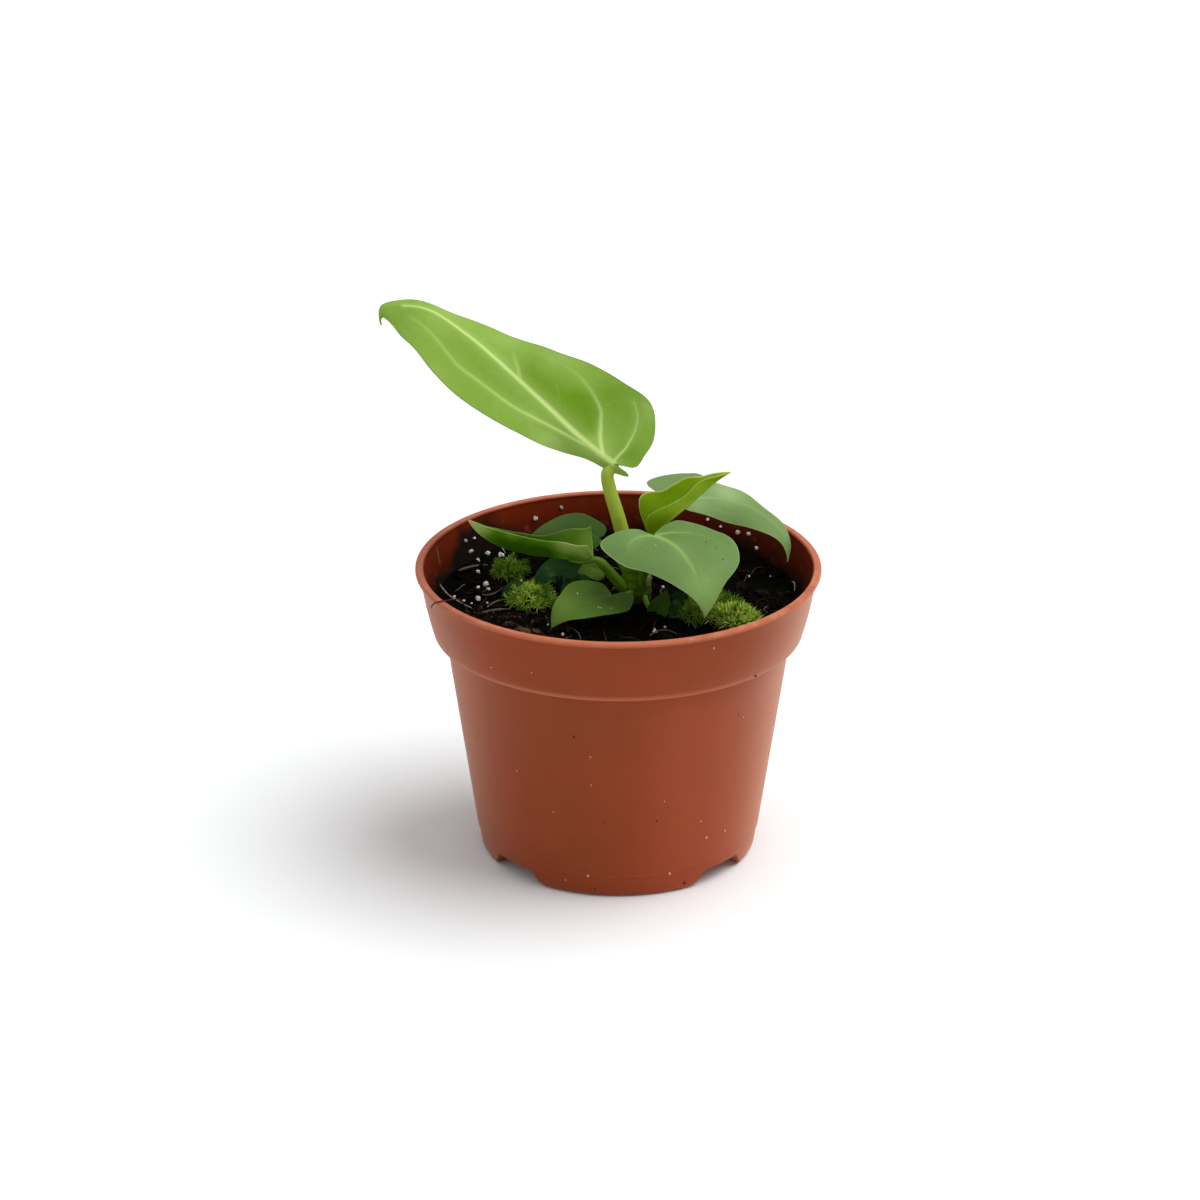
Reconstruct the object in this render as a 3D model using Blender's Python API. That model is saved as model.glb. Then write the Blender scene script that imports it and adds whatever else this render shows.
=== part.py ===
"""A young anthurium growing in a round plastic nursery pot, with soil, moss and ten leaves.

Lengths are in millimetres until a mesh is made. The pot axis is X = Y = 0, the table is Z = 0,
-Y is the front and +X the right-hand side.
"""
import math

import bmesh
import bpy
import numpy as np

MM = 0.001
GAP = 0.3
MERGE = 0.001
ROUTE_POINTS = 200
MARGIN_POINTS = 400

# Pot
POT_SIDES = 72
RIM_RADIUS = 60.0
POT_HEIGHT = 89.4
LIP_THICKNESS = 1.4
LIP_INNER_RADIUS = 57.5
BAND_TOP_RADIUS = 58.7
BAND_MIDDLE_RADIUS = 57.1
BAND_BOTTOM_RADIUS = 54.8
BAND_BOTTOM = 69.3
BAND_STEP = 4.7
EDGE_ROUNDING = 0.4
WALL_TOP_RADIUS = 51.4
WALL_LOW_RADIUS = 42.0
WALL_LOW = 5.0
BASE_RADIUS = 40.0
CREASE_HEIGHT = 7.4
CREASE_DEPTH = 0.3
SHELL = 1.2
FLOOR = 1.6
NOTCH_WIDTH_LOW = 22.0
NOTCH_WIDTH_HIGH = 14.0
NOTCH_HEIGHT = 5.2
NOTCH_INNER_RADIUS = 33.0
NOTCH_OUTER_RADIUS = 50.0
NOTCH_TURNS = (42, 138, 222, 318)
DRAIN_RADIUS = 2.5
DRAIN_SIDES = 20
DRAIN_FROM_AXIS = 36.5
CUTTER_OVERRUN = 5.0

# Soil
SOIL_SIDES = 48
SOIL_SIDE_GAP = 0.4
SOIL_LEVEL = 76.4
SOIL_MOUND = 2.4
SOIL_MOUND_SPREAD = 11.0
SOIL_BACK_RISE = 0.03
SOIL_LUMP = 0.45
SOIL_RINGS = (0.93, 0.84, 0.74, 0.63, 0.52, 0.41, 0.3, 0.2, 0.1)

# Crown
CROWN_X, CROWN_Y = 5.0, 1.0
CROWN_ROUTE = ((5, 1, 58), (5, 1, 70), (5, 1, 80), (5, 1, 89.3))
CROWN_RADII = (2.2, 3.2, 3.5, 2.7)
CROWN_RINGS = 10
CROWN_SIDES = 18

# Moss cushions: centre X, centre Y, radius, height over the soil level
MOSS = {
    "moss_left": (-26, 2, 6.6, 5.4),
    "moss_back": (-32.5, 25, 4.4, 5.2),
    "moss_right": (33.5, -6, 6.6, 3.8),
    "moss_middle": (20.5, -9, 4.8, 3.0),
}
MOSS_SUNK = 2.5
CUSHION_RINGS = 6
CUSHION_SIDES = 14
SHOOTS = 26
SHOOT_LENGTH = 2.2
SHOOT_RADIUS = 0.55
SHOOT_ROOT_SHARE = 0.8
SHOOT_ANGLES = (8, 72)
GOLDEN_TURN = 2.39996

# Leaves in general. A lobe is drawn through shares of how far back and how far out it goes. The rows that
# fan out round the stalk are the first share of all rows. Rows turn partly with the midrib's slope.
BLADE_THICKNESS = 0.7
LOBE_CORNERS = ((0.5, 0.1), (0.9, 0.45), (1, 1))
LOBE_SHARE = 0.22
SLOPE_SHARE = 0.45
STALK_SIDES = 9
RIB_START_SHARE = 0.35
RIB_END_RADIUS = 0.3

# Each leaf: the stalk route and its radius at both ends, the midrib route from the stalk to the tip, the
# way its upper face looks, and for each half the lobe (how far back, how far out), the half widths at
# equal steps from the stalk to the tip, the angle at which the half leaves the midrib and its curl.
LEAVES = {
    "tall_leaf": {
        "stalk": ((5, 1, 88), (4.6, 0.9, 91), (3, 0.5, 95), (0.5, 0, 105), (-2, -0.5, 113.5),
                  (-3, -1, 118.5)),
        "stalk_radii": (2.4, 1.8),
        "midrib": ((-1.5, -2, 122), (-11.5, 1, 129), (-22.5, 5, 138.5), (-33.5, 9, 148), (-44.5, 13, 156.5),
                   (-56, 16, 163.5), (-64.5, 18, 164.5), (-69, 18, 163.5), (-69.5, 17, 158.5)),
        "faces": ((0.25, -0.8, 0.6), (0.1, -0.8, 0.6), (0, -0.8, 0.6)),
        "left": {"lobe": (7, 1), "half_widths": (3, 4, 7, 10, 12.5, 14.5, 16, 16.5, 15.5, 13, 9.5, 3.5),
                 "lift": (-50, -5, 0, 0), "curl": (-20, 10, 10, 0)},
        "right": {"lobe": (8, 6), "half_widths": (20.5, 20.5, 18.5, 14, 10.5, 8.5, 4.5, 1.5),
                  "lift": (15, 5, -35, -60), "curl": (10, 0, -15, -20)},
        "grid": (22, 4),
    },
    "young_leaf": {
        "stalk": ((6.5, 1.8, 85), (9, 3, 90)),
        "stalk_radii": (1.5, 1.0),
        "midrib": ((10, 3.5, 97), (13.5, 3.5, 100.5), (19.5, 4.5, 105.5), (24, 5.5, 109.5), (28.5, 7, 113),
                   (33, 8, 115.5)),
        "faces": ((-0.7, 0, 0.7), (-0.6, 0, 0.8)),
        "left": {"lobe": (0, 0), "half_widths": (3, 10, 11, 8.5, 7.5, 7, 4, 2.5), "lift": (60, 50, 50, 25),
                 "curl": (20, 20, 20, 0)},
        "right": {"lobe": (0, 0), "half_widths": (3, 6, 4, 3.5, 3.5, 2.5), "lift": (70, 65, 60, 30),
                  "curl": (20, 20, 20, 0)},
        "wave": (0.6, 3.0),
        "grid": (16, 3),
    },
    "back_leaf": {
        "stalk": ((6.2, 3, 82), (11, 11, 91), (15.5, 16, 98)),
        "stalk_radii": (1.4, 1.0),
        "midrib": ((20.5, 18, 102.5), (26, 20, 102), (35, 22, 100), (41.5, 21, 97.5), (47, 19, 93.5),
                   (50, 17, 89), (50.5, 15, 84)),
        "faces": ((0, -0.2, 0.97), (0.3, -0.2, 0.9), (0.8, -0.2, 0.5)),
        "left": {"lobe": (13, 3), "half_widths": (9.5, 7.5, 6.5, 4, 5), "lift": (25, 5, 0, 0),
                 "curl": (0, 0, 0, 0)},
        "right": {"lobe": (3, 1.5), "half_widths": (4, 6, 7, 5.5, 2.5), "lift": (-10, -20, -20, -20),
                  "curl": (-20, -20, -20, 0)},
        "grid": (16, 3),
    },
    "front_leaf": {
        "stalk": ((6.3, -0.8, 82), (8.5, -5, 93), (10, -8, 99)),
        "stalk_radii": (1.5, 1.0),
        "midrib": ((10.5, -9, 102), (14, -11, 101.5), (17.5, -15, 100.5), (21, -20, 97), (23.5, -24, 92.5),
                   (25, -26, 87.5), (25, -27, 83.5)),
        "faces": ((0.1, -0.25, 0.95), (0.2, -0.6, 0.75), (0.3, -0.8, 0.5)),
        "left": {"lobe": (1, 9), "half_widths": (12.5, 15.5, 17.5, 15.5, 6.5), "lift": (0, 0, 0, 0),
                 "curl": (-15, -15, -15, 0)},
        "right": {"lobe": (8.5, 14.5), "half_widths": (15.5, 16, 12, 7.5, 3), "lift": (0, 0, 0, 0),
                  "curl": (-20, -20, -20, 0)},
        "grid": (18, 4),
    },
    "folded_leaf": {
        "stalk": ((3.5, 0.5, 84.5), (0.3, -2, 87), (-3, -4.5, 91)),
        "stalk_radii": (1.6, 1.2),
        "midrib": ((-6, -5, 94), (-9.5, -4, 92.5), (-14.5, -2, 92), (-19.5, 1, 91.5), (-26, 4, 91),
                   (-35, 8, 92), (-41, 10, 95), (-44.5, 11, 99)),
        "faces": ((0, -0.1, 0.99), (0.1, -0.1, 0.95)),
        "left": {"lobe": (0, 0), "half_widths": (5, 7, 6.5, 5.5, 4.5), "lift": (60, 62, 60, 25),
                 "curl": (15, 15, 10, 0)},
        "right": {"lobe": (0, 0), "half_widths": (10, 9.5, 6, 5.5, 4), "lift": (60, 60, 60, 25),
                  "curl": (15, 15, 15, 0)},
        "grid": (16, 3),
    },
    "round_leaf": {
        "stalk": ((3.5, 2.5, 84), (-2, 9, 89.5)),
        "stalk_radii": (1.2, 0.9),
        "midrib": ((-6, 13, 92.5), (-9.5, 16, 93), (-14.5, 19, 92), (-19.5, 21, 90), (-23, 22, 87),
                   (-25.5, 22, 84)),
        "faces": ((0, -0.4, 0.9), (0, -0.5, 0.85)),
        "left": {"lobe": (2, 3), "half_widths": (6, 7, 7, 5, 3), "lift": (0, 0, 0, 0),
                 "curl": (-10, -10, -10, 0)},
        "right": {"lobe": (1, 2), "half_widths": (4.5, 6, 7, 6, 3), "lift": (5, 5, 0, 0),
                  "curl": (-10, -10, -10, 0)},
        "grid": (12, 3),
    },
    "small_leaf": {
        "stalk": ((4.6, -0.5, 81), (2, -6.5, 82.3)),
        "stalk_radii": (0.9, 0.8),
        "midrib": ((-2, -10, 83.5), (-7, -14, 83.5), (-12, -18, 83), (-16.5, -20.5, 81.5), (-19.5, -22, 78)),
        "faces": ((0, -0.35, 0.9), (-0.1, -0.5, 0.8)),
        "left": {"lobe": (5, 4), "half_widths": (8.5, 8.5, 7, 5, 2.5), "lift": (10, 10, 5, 0),
                 "curl": (-10, -10, -10, 0)},
        "right": {"lobe": (0.5, 4), "half_widths": (5.5, 8.5, 9, 7, 4), "lift": (10, 10, 5, 0),
                  "curl": (-10, -10, -10, 0)},
        "grid": (12, 3),
    },
    "light_leaf": {
        "stalk": ((3.5, 1.5, 81.5), (-1.5, 0.5, 84.5)),
        "stalk_radii": (0.9, 0.8),
        "midrib": ((-4, 0, 87), (-7, 0, 88), (-10, 0, 88), (-12, 0, 86.5)),
        "faces": ((0, -0.8, 0.6), (0, -0.8, 0.6)),
        "left": {"lobe": (0, 0), "half_widths": (2, 3.5, 3.5, 2.5, 1.5), "lift": (10, 10, 5, 0),
                 "curl": (-10, -10, -10, 0)},
        "right": {"lobe": (0, 0), "half_widths": (1.5, 2.5, 2.5, 2, 1), "lift": (10, 10, 5, 0),
                  "curl": (-10, -10, -10, 0)},
        "grid": (8, 2),
    },
    "low_leaf": {
        "stalk": ((3.5, 2.5, 81.5), (-5, 7, 84)),
        "stalk_radii": (1.0, 0.8),
        "midrib": ((-9, 9, 84.5), (-14, 11, 84), (-20, 12, 82), (-25.5, 12.5, 79)),
        "faces": ((0, -0.6, 0.8), (0, -0.7, 0.7)),
        "left": {"lobe": (2, 3), "half_widths": (5, 6, 5.5, 4, 2), "lift": (0, 0, 0, 0),
                 "curl": (-10, -10, -10, 0)},
        "right": {"lobe": (2, 3), "half_widths": (5, 7, 7, 5, 3), "lift": (0, 0, 0, 0),
                  "curl": (-10, -10, -10, 0)},
        "grid": (12, 3),
    },
    "tiny_leaf": {
        "stalk": ((6.5, 0, 81), (9.3, -2.8, 80.8)),
        "stalk_radii": (0.9, 0.8),
        "midrib": ((10.5, -4, 81), (12, -5.5, 81.5), (13.5, -7, 80.8), (14.5, -8, 79)),
        "faces": ((0, -0.5, 0.85), (0, -0.5, 0.85)),
        "left": {"lobe": (1, 1.5), "half_widths": (2.5, 3, 3, 2, 1), "lift": (10, 10, 5, 0),
                 "curl": (-10, -10, -10, 0)},
        "right": {"lobe": (1, 1.5), "half_widths": (2.5, 3, 3, 2, 1), "lift": (10, 10, 5, 0),
                  "curl": (-10, -10, -10, 0)},
        "grid": (8, 2),
    },
}

# Surface colours: red, green, blue, then roughness
PLASTIC = (0.25, 0.062, 0.022, 0.45)
SOIL = (0.012, 0.008, 0.006, 0.95)
CROWN = (0.12, 0.2, 0.02, 0.5)
MOSS_GREEN = (0.16, 0.26, 0.03, 0.9)
LEAF_COLOURS = {
    "tall_leaf": (0.23, 0.4, 0.06, 0.4),
    "young_leaf": (0.13, 0.25, 0.01, 0.35),
    "back_leaf": (0.16, 0.29, 0.09, 0.45),
    "front_leaf": (0.16, 0.29, 0.09, 0.45),
    "folded_leaf": (0.08, 0.18, 0.02, 0.4),
    "round_leaf": (0.045, 0.11, 0.03, 0.45),
    "small_leaf": (0.09, 0.17, 0.04, 0.45),
    "light_leaf": (0.13, 0.23, 0.05, 0.45),
    "low_leaf": (0.02, 0.06, 0.025, 0.5),
    "tiny_leaf": (0.02, 0.06, 0.015, 0.5),
}


def clear_scene():
    for item in list(bpy.data.objects):
        bpy.data.objects.remove(item, do_unlink=True)


def material(name, colour):
    """A plain Principled surface in the photographed colour."""
    made = bpy.data.materials.new(name)
    made.use_nodes = True
    shader = made.node_tree.nodes["Principled BSDF"]
    shader.inputs["Base Color"].default_value = (*colour[:3], 1.0)
    shader.inputs["Roughness"].default_value = colour[3]
    shader.inputs["Metallic"].default_value = 0.0
    made.diffuse_color = (*colour[:3], 1.0)
    return made


def mesh_object(name, points, faces):
    """An object from points in millimetres, with coincident points joined."""
    mesh = bpy.data.meshes.new(name)
    mesh.from_pydata([tuple(float(v) * MM for v in p) for p in points], [], faces)
    work = bmesh.new()
    work.from_mesh(mesh)
    bmesh.ops.remove_doubles(work, verts=work.verts, dist=MERGE * MM)
    bmesh.ops.dissolve_degenerate(work, edges=work.edges, dist=MERGE * MM)
    bmesh.ops.recalc_face_normals(work, faces=work.faces)
    work.to_mesh(mesh)
    work.free()
    item = bpy.data.objects.new(name, mesh)
    bpy.context.scene.collection.objects.link(item)
    return item


def apply_modifiers(item):
    depsgraph = bpy.context.evaluated_depsgraph_get()
    depsgraph.update()
    shaped = bpy.data.meshes.new_from_object(item.evaluated_get(depsgraph))
    item.modifiers.clear()
    item.data = shaped


def combine(item, tool, operation, crossing=False):
    """Boolean with a tool object, which is used up; crossing clears up a sheet that meets itself."""
    change = item.modifiers.new(operation.lower(), "BOOLEAN")
    change.operation = operation
    change.object = tool
    change.solver = "EXACT"
    change.use_self = crossing
    apply_modifiers(item)
    bpy.data.objects.remove(tool, do_unlink=True)


def join_collection(item, group):
    """One Boolean union on a collection, whose objects are used up."""
    join = item.modifiers.new("join", "BOOLEAN")
    join.operation = "UNION"
    join.operand_type = "COLLECTION"
    join.collection = group
    join.solver = "EXACT"
    apply_modifiers(item)
    for used in list(group.objects):
        bpy.data.objects.remove(used, do_unlink=True)
    bpy.data.collections.remove(group)


def finish(item, surface, smooth_angle=40):
    """Shading and material of a finished sub-part."""
    mesh = item.data
    mesh.materials.clear()
    mesh.materials.append(surface)
    mesh.polygons.foreach_set("use_smooth", [True] * len(mesh.polygons))
    mesh.set_sharp_from_angle(angle=math.radians(smooth_angle))
    mesh.update()


def revolve(name, profile, sides):
    """Closed solid turned round the pot axis from a profile that starts and ends on the axis."""
    rings = [p for p in profile if p[0] > 0]
    points = [(0, 0, profile[0][1]), (0, 0, profile[-1][1])]
    for radius, height in rings:
        for side in range(sides):
            turn = 2 * math.pi * side / sides
            points.append((radius * math.cos(turn), radius * math.sin(turn), height))
    faces = []
    last = 2 + (len(rings) - 1) * sides
    for side in range(sides):
        after = (side + 1) % sides
        faces.append((0, 2 + after, 2 + side))
        faces.append((1, last + side, last + after))
        for ring in range(len(rings) - 1):
            low = 2 + ring * sides
            high = low + sides
            faces.append((low + side, low + after, high + after, high + side))
    return mesh_object(name, points, faces)


def notch_prism(turn, extra):
    """Tapered prism that shapes one drainage notch, made larger on every side by the extra."""
    low = NOTCH_WIDTH_LOW / 2 + extra
    high = NOTCH_WIDTH_HIGH / 2 + extra
    top = NOTCH_HEIGHT + extra
    foot = -CUTTER_OVERRUN
    section = ((-low, foot), (low, foot), (low, 0), (high, top), (-high, top), (-low, 0))
    angle = math.radians(turn)
    points = []
    for radius in (NOTCH_INNER_RADIUS - extra, NOTCH_OUTER_RADIUS):
        for across, height in section:
            points.append((radius * math.cos(angle) - across * math.sin(angle),
                           radius * math.sin(angle) + across * math.cos(angle), height))
    count = len(section)
    faces = [tuple(range(count)), tuple(range(2 * count - 1, count - 1, -1))]
    for i in range(count):
        j = (i + 1) % count
        faces.append((i, i + count, j + count, j))
    return mesh_object("notch_cutter", points, faces)


def drain_cylinder(turn):
    angle = math.radians(turn)
    x, y = DRAIN_FROM_AXIS * math.cos(angle), DRAIN_FROM_AXIS * math.sin(angle)
    high = NOTCH_HEIGHT + CUTTER_OVERRUN
    return tube("drain_cutter", ((x, y, FLOOR), (x, y, high)), (DRAIN_RADIUS, DRAIN_RADIUS), 2, DRAIN_SIDES)


def inner_band_radius(height):
    """Inner radius of the pot between the ledge and the lip."""
    low, high = BAND_BOTTOM + SHELL, POT_HEIGHT - LIP_THICKNESS
    share = (height - low) / (high - low)
    return BAND_BOTTOM_RADIUS - SHELL + share * (LIP_INNER_RADIUS - BAND_BOTTOM_RADIUS + SHELL)


def outer_profile():
    lip_bottom = POT_HEIGHT - LIP_THICKNESS
    wall_slope = (WALL_TOP_RADIUS - WALL_LOW_RADIUS) / (BAND_BOTTOM - WALL_LOW)
    crease_radius = WALL_LOW_RADIUS + wall_slope * (CREASE_HEIGHT - WALL_LOW)
    return ((0, 0), (BASE_RADIUS - 1.0, 0), (BASE_RADIUS + 0.4, 0.5), (BASE_RADIUS + 1.2, 1.8),
            (WALL_LOW_RADIUS - CREASE_DEPTH, WALL_LOW), (crease_radius - CREASE_DEPTH, CREASE_HEIGHT - 0.2),
            (crease_radius, CREASE_HEIGHT), (WALL_TOP_RADIUS, BAND_BOTTOM),
            (BAND_BOTTOM_RADIUS - EDGE_ROUNDING, BAND_BOTTOM),
            (BAND_BOTTOM_RADIUS, BAND_BOTTOM + EDGE_ROUNDING),
            (BAND_BOTTOM_RADIUS + 1.2, BAND_BOTTOM + BAND_STEP),
            (BAND_MIDDLE_RADIUS, BAND_BOTTOM + 2 * BAND_STEP),
            (BAND_MIDDLE_RADIUS + 0.9, BAND_BOTTOM + 3 * BAND_STEP), (BAND_TOP_RADIUS, lip_bottom),
            (RIM_RADIUS - EDGE_ROUNDING, lip_bottom + 0.1), (RIM_RADIUS, lip_bottom + EDGE_ROUNDING),
            (RIM_RADIUS, POT_HEIGHT - EDGE_ROUNDING), (RIM_RADIUS - EDGE_ROUNDING, POT_HEIGHT),
            (0, POT_HEIGHT))


def cavity_profile():
    ledge = BAND_BOTTOM + SHELL
    high = POT_HEIGHT + CUTTER_OVERRUN
    return ((0, FLOOR), (BASE_RADIUS - 1.1, FLOOR), (WALL_LOW_RADIUS - SHELL - 0.4, 2 * FLOOR),
            (WALL_TOP_RADIUS - SHELL, ledge), (inner_band_radius(ledge), ledge),
            (LIP_INNER_RADIUS, POT_HEIGHT - LIP_THICKNESS), (LIP_INNER_RADIUS, POT_HEIGHT - EDGE_ROUNDING),
            (LIP_INNER_RADIUS + EDGE_ROUNDING, POT_HEIGHT), (LIP_INNER_RADIUS + EDGE_ROUNDING, high),
            (0, high))


def build_pot():
    """Thin shell with a flat lip, a flared band over a ledge, a tapering wall and four drainage notches."""
    pot = revolve("pot", outer_profile(), POT_SIDES)
    cavity = revolve("cavity_cutter", cavity_profile(), POT_SIDES)
    for turn in NOTCH_TURNS:
        combine(pot, notch_prism(turn, 0), "DIFFERENCE")
        combine(cavity, notch_prism(turn, SHELL), "DIFFERENCE")
    combine(pot, cavity, "DIFFERENCE")
    for turn in NOTCH_TURNS:
        combine(pot, drain_cylinder(turn), "DIFFERENCE")
    finish(pot, material("pot plastic", PLASTIC), 30)
    return pot


def soil_height(x, y):
    """Height of the soil: a mound round the crown, a rise toward the back and low lumps."""
    from_crown = (x - CROWN_X) ** 2 + (y - CROWN_Y) ** 2
    mound = SOIL_MOUND * math.exp(-from_crown / (2 * SOIL_MOUND_SPREAD ** 2))
    lumps = math.sin(x / 3.9 + 1.0) * math.cos(y / 4.7) + 0.7 * math.sin(x / 7.3 - y / 3.1 + 2.0)
    return SOIL_LEVEL + mound + SOIL_BACK_RISE * y + SOIL_LUMP * lumps


def build_soil():
    """Potting soil that fills the pot, with a lumpy top."""
    ledge = BAND_BOTTOM + SHELL + GAP
    low_rings = ((BASE_RADIUS - 1.6, FLOOR + GAP),
                 (WALL_LOW_RADIUS - SHELL - 2 * SOIL_SIDE_GAP, 2 * FLOOR + GAP),
                 (WALL_TOP_RADIUS - SHELL - SOIL_SIDE_GAP, ledge),
                 (inner_band_radius(ledge) - SOIL_SIDE_GAP, ledge))
    turns = [2 * math.pi * side / SOIL_SIDES for side in range(SOIL_SIDES)]
    points = [(0, 0, FLOOR + GAP), (0, 0, soil_height(0, 0))]
    for radius, height in low_rings:
        points += [(radius * math.cos(turn), radius * math.sin(turn), height) for turn in turns]
    edge = []
    for turn in turns:
        level = soil_height(BAND_BOTTOM_RADIUS * math.cos(turn), BAND_BOTTOM_RADIUS * math.sin(turn))
        edge.append(inner_band_radius(level) - SOIL_SIDE_GAP)
        points.append((edge[-1] * math.cos(turn), edge[-1] * math.sin(turn), level))
    for share in SOIL_RINGS:
        for radius, turn in zip(edge, turns):
            x, y = share * radius * math.cos(turn), share * radius * math.sin(turn)
            points.append((x, y, soil_height(x, y)))
    rings = len(low_rings) + 1 + len(SOIL_RINGS)
    faces = []
    for side in range(SOIL_SIDES):
        after = (side + 1) % SOIL_SIDES
        faces.append((0, 2 + after, 2 + side))
        last = 2 + (rings - 1) * SOIL_SIDES
        faces.append((1, last + side, last + after))
        for ring in range(rings - 1):
            low = 2 + ring * SOIL_SIDES
            high = low + SOIL_SIDES
            faces.append((low + side, low + after, high + after))
            faces.append((low + side, high + after, high + side))
    soil = mesh_object("soil", points, faces)
    for turn in NOTCH_TURNS:
        combine(soil, notch_prism(turn, SHELL + GAP), "DIFFERENCE")
    combine(soil, crown_tube("crown_hole", GAP), "DIFFERENCE")
    for name, cushion in MOSS.items():
        combine(soil, moss_cushion(name + "_hollow", cushion, GAP), "DIFFERENCE")
    finish(soil, material("potting soil", SOIL))
    return soil


def moss_cushion(name, cushion, extra):
    """Lumpy dome of moss sunk a little in the soil."""
    x, y, radius, height = cushion
    base = soil_height(x, y)
    rings, sides = CUSHION_RINGS, CUSHION_SIDES
    points = [(x, y, base - MOSS_SUNK - extra)]
    for ring in range(1, rings):
        level = math.pi * ring / rings
        for side in range(sides):
            turn = 2 * math.pi * side / sides
            lump = 1 + 0.07 * math.sin(3 * turn + x) * math.sin(level) + 0.05 * math.sin(5 * turn + ring)
            reach = (radius * lump + extra) * math.sin(level)
            tall = height + extra if level > math.pi / 2 else MOSS_SUNK + extra
            points.append((x + reach * math.cos(turn), y + reach * math.sin(turn),
                           base - tall * math.cos(level)))
    points.append((x, y, base + height + extra))
    faces = []
    for side in range(sides):
        after = (side + 1) % sides
        faces.append((0, 1 + after, 1 + side))
        last = 1 + (rings - 2) * sides
        faces.append((len(points) - 1, last + side, last + after))
        for ring in range(rings - 2):
            low = 1 + ring * sides
            high = low + sides
            faces.append((low + side, low + after, high + after))
            faces.append((low + side, high + after, high + side))
    return mesh_object(name, points, faces)


def moss_shoot(cushion, number):
    """One three-sided shoot that stands out of the upper half of a cushion."""
    x, y, radius, height = cushion
    top, low = SHOOT_ANGLES
    level = math.radians(top + (low - top) * math.sqrt((number + 0.5) / SHOOTS))
    turn = GOLDEN_TURN * number
    outward = np.array((math.sin(level) * math.cos(turn), math.sin(level) * math.sin(turn), math.cos(level)))
    root = np.array((x, y, soil_height(x, y))) + SHOOT_ROOT_SHARE * outward * (radius, radius, height)
    across = unit(np.cross(outward, (0.2, 0.3, 0.93)))
    beside = np.cross(outward, across)
    points = [root + outward * (SHOOT_LENGTH * (1 + 0.3 * math.sin(7 * number)) + 0.2 * height)]
    for corner in range(3):
        around = 2 * math.pi * corner / 3
        points.append(root + SHOOT_RADIUS * (math.cos(around) * across + math.sin(around) * beside))
    return mesh_object("shoot", points, ((0, 1, 2), (0, 2, 3), (0, 3, 1), (1, 3, 2)))


def build_moss():
    surface = material("moss", MOSS_GREEN)
    for name, cushion in MOSS.items():
        item = moss_cushion(name, cushion, 0)
        shoots = bpy.data.collections.new("shoots")
        for number in range(SHOOTS):
            shoots.objects.link(moss_shoot(cushion, number))
        join_collection(item, shoots)
        finish(item, surface)


def smooth_route(route, count):
    """Even smooth curve through the points of a route."""
    route = np.array(route, float)
    steps = np.sqrt(np.linalg.norm(np.diff(route, axis=0), axis=1))
    knots = np.concatenate([[0], np.cumsum(steps)])
    slopes = np.gradient(route, knots, axis=0, edge_order=2 if len(route) > 2 else 1)
    found = []
    for place in np.linspace(0, knots[-1], count):
        i = min(int(np.searchsorted(knots, place, side="right")) - 1, len(knots) - 2)
        span = knots[i + 1] - knots[i]
        u = (place - knots[i]) / span
        found.append((1 + 2 * u) * (1 - u) ** 2 * route[i] + u * (1 - u) ** 2 * span * slopes[i]
                     + u * u * (3 - 2 * u) * route[i + 1] + u * u * (u - 1) * span * slopes[i + 1])
    return np.array(found)


def lengths(curve):
    return np.concatenate([[0], np.cumsum(np.linalg.norm(np.diff(curve, axis=0), axis=1))])


def along(values, share):
    """Value at a share of the blade's length, eased between equal steps from the stalk to the tip."""
    values = np.array(values, float)
    place = np.clip(share, 0, 1) * (len(values) - 1)
    i = np.minimum(place.astype(int), len(values) - 2)
    u = place - i
    u = u * u * (3 - 2 * u)
    if values.ndim > 1:
        u = u[..., None]
    return values[i] + (values[i + 1] - values[i]) * u


def unit(vectors):
    return vectors / np.linalg.norm(vectors, axis=-1)[..., None]


def margin(half, length, count):
    """Edge of a half blade as (along, across), from the inner corner of the lobe to the tip."""
    back, out = half["lobe"]
    widths = half["half_widths"]
    points = [(-back * behind, out * beside) for behind, beside in LOBE_CORNERS] if back > 0 else []
    points += [(length * i / len(widths), width) for i, width in enumerate(widths)]
    points.append((length, 0))
    edge = smooth_route(points, MARGIN_POINTS)
    reach = lengths(edge)
    even = np.linspace(0, reach[-1], count)
    return np.stack([np.interp(even, reach, edge[:, 0]), np.interp(even, reach, edge[:, 1])], axis=1)


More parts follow.
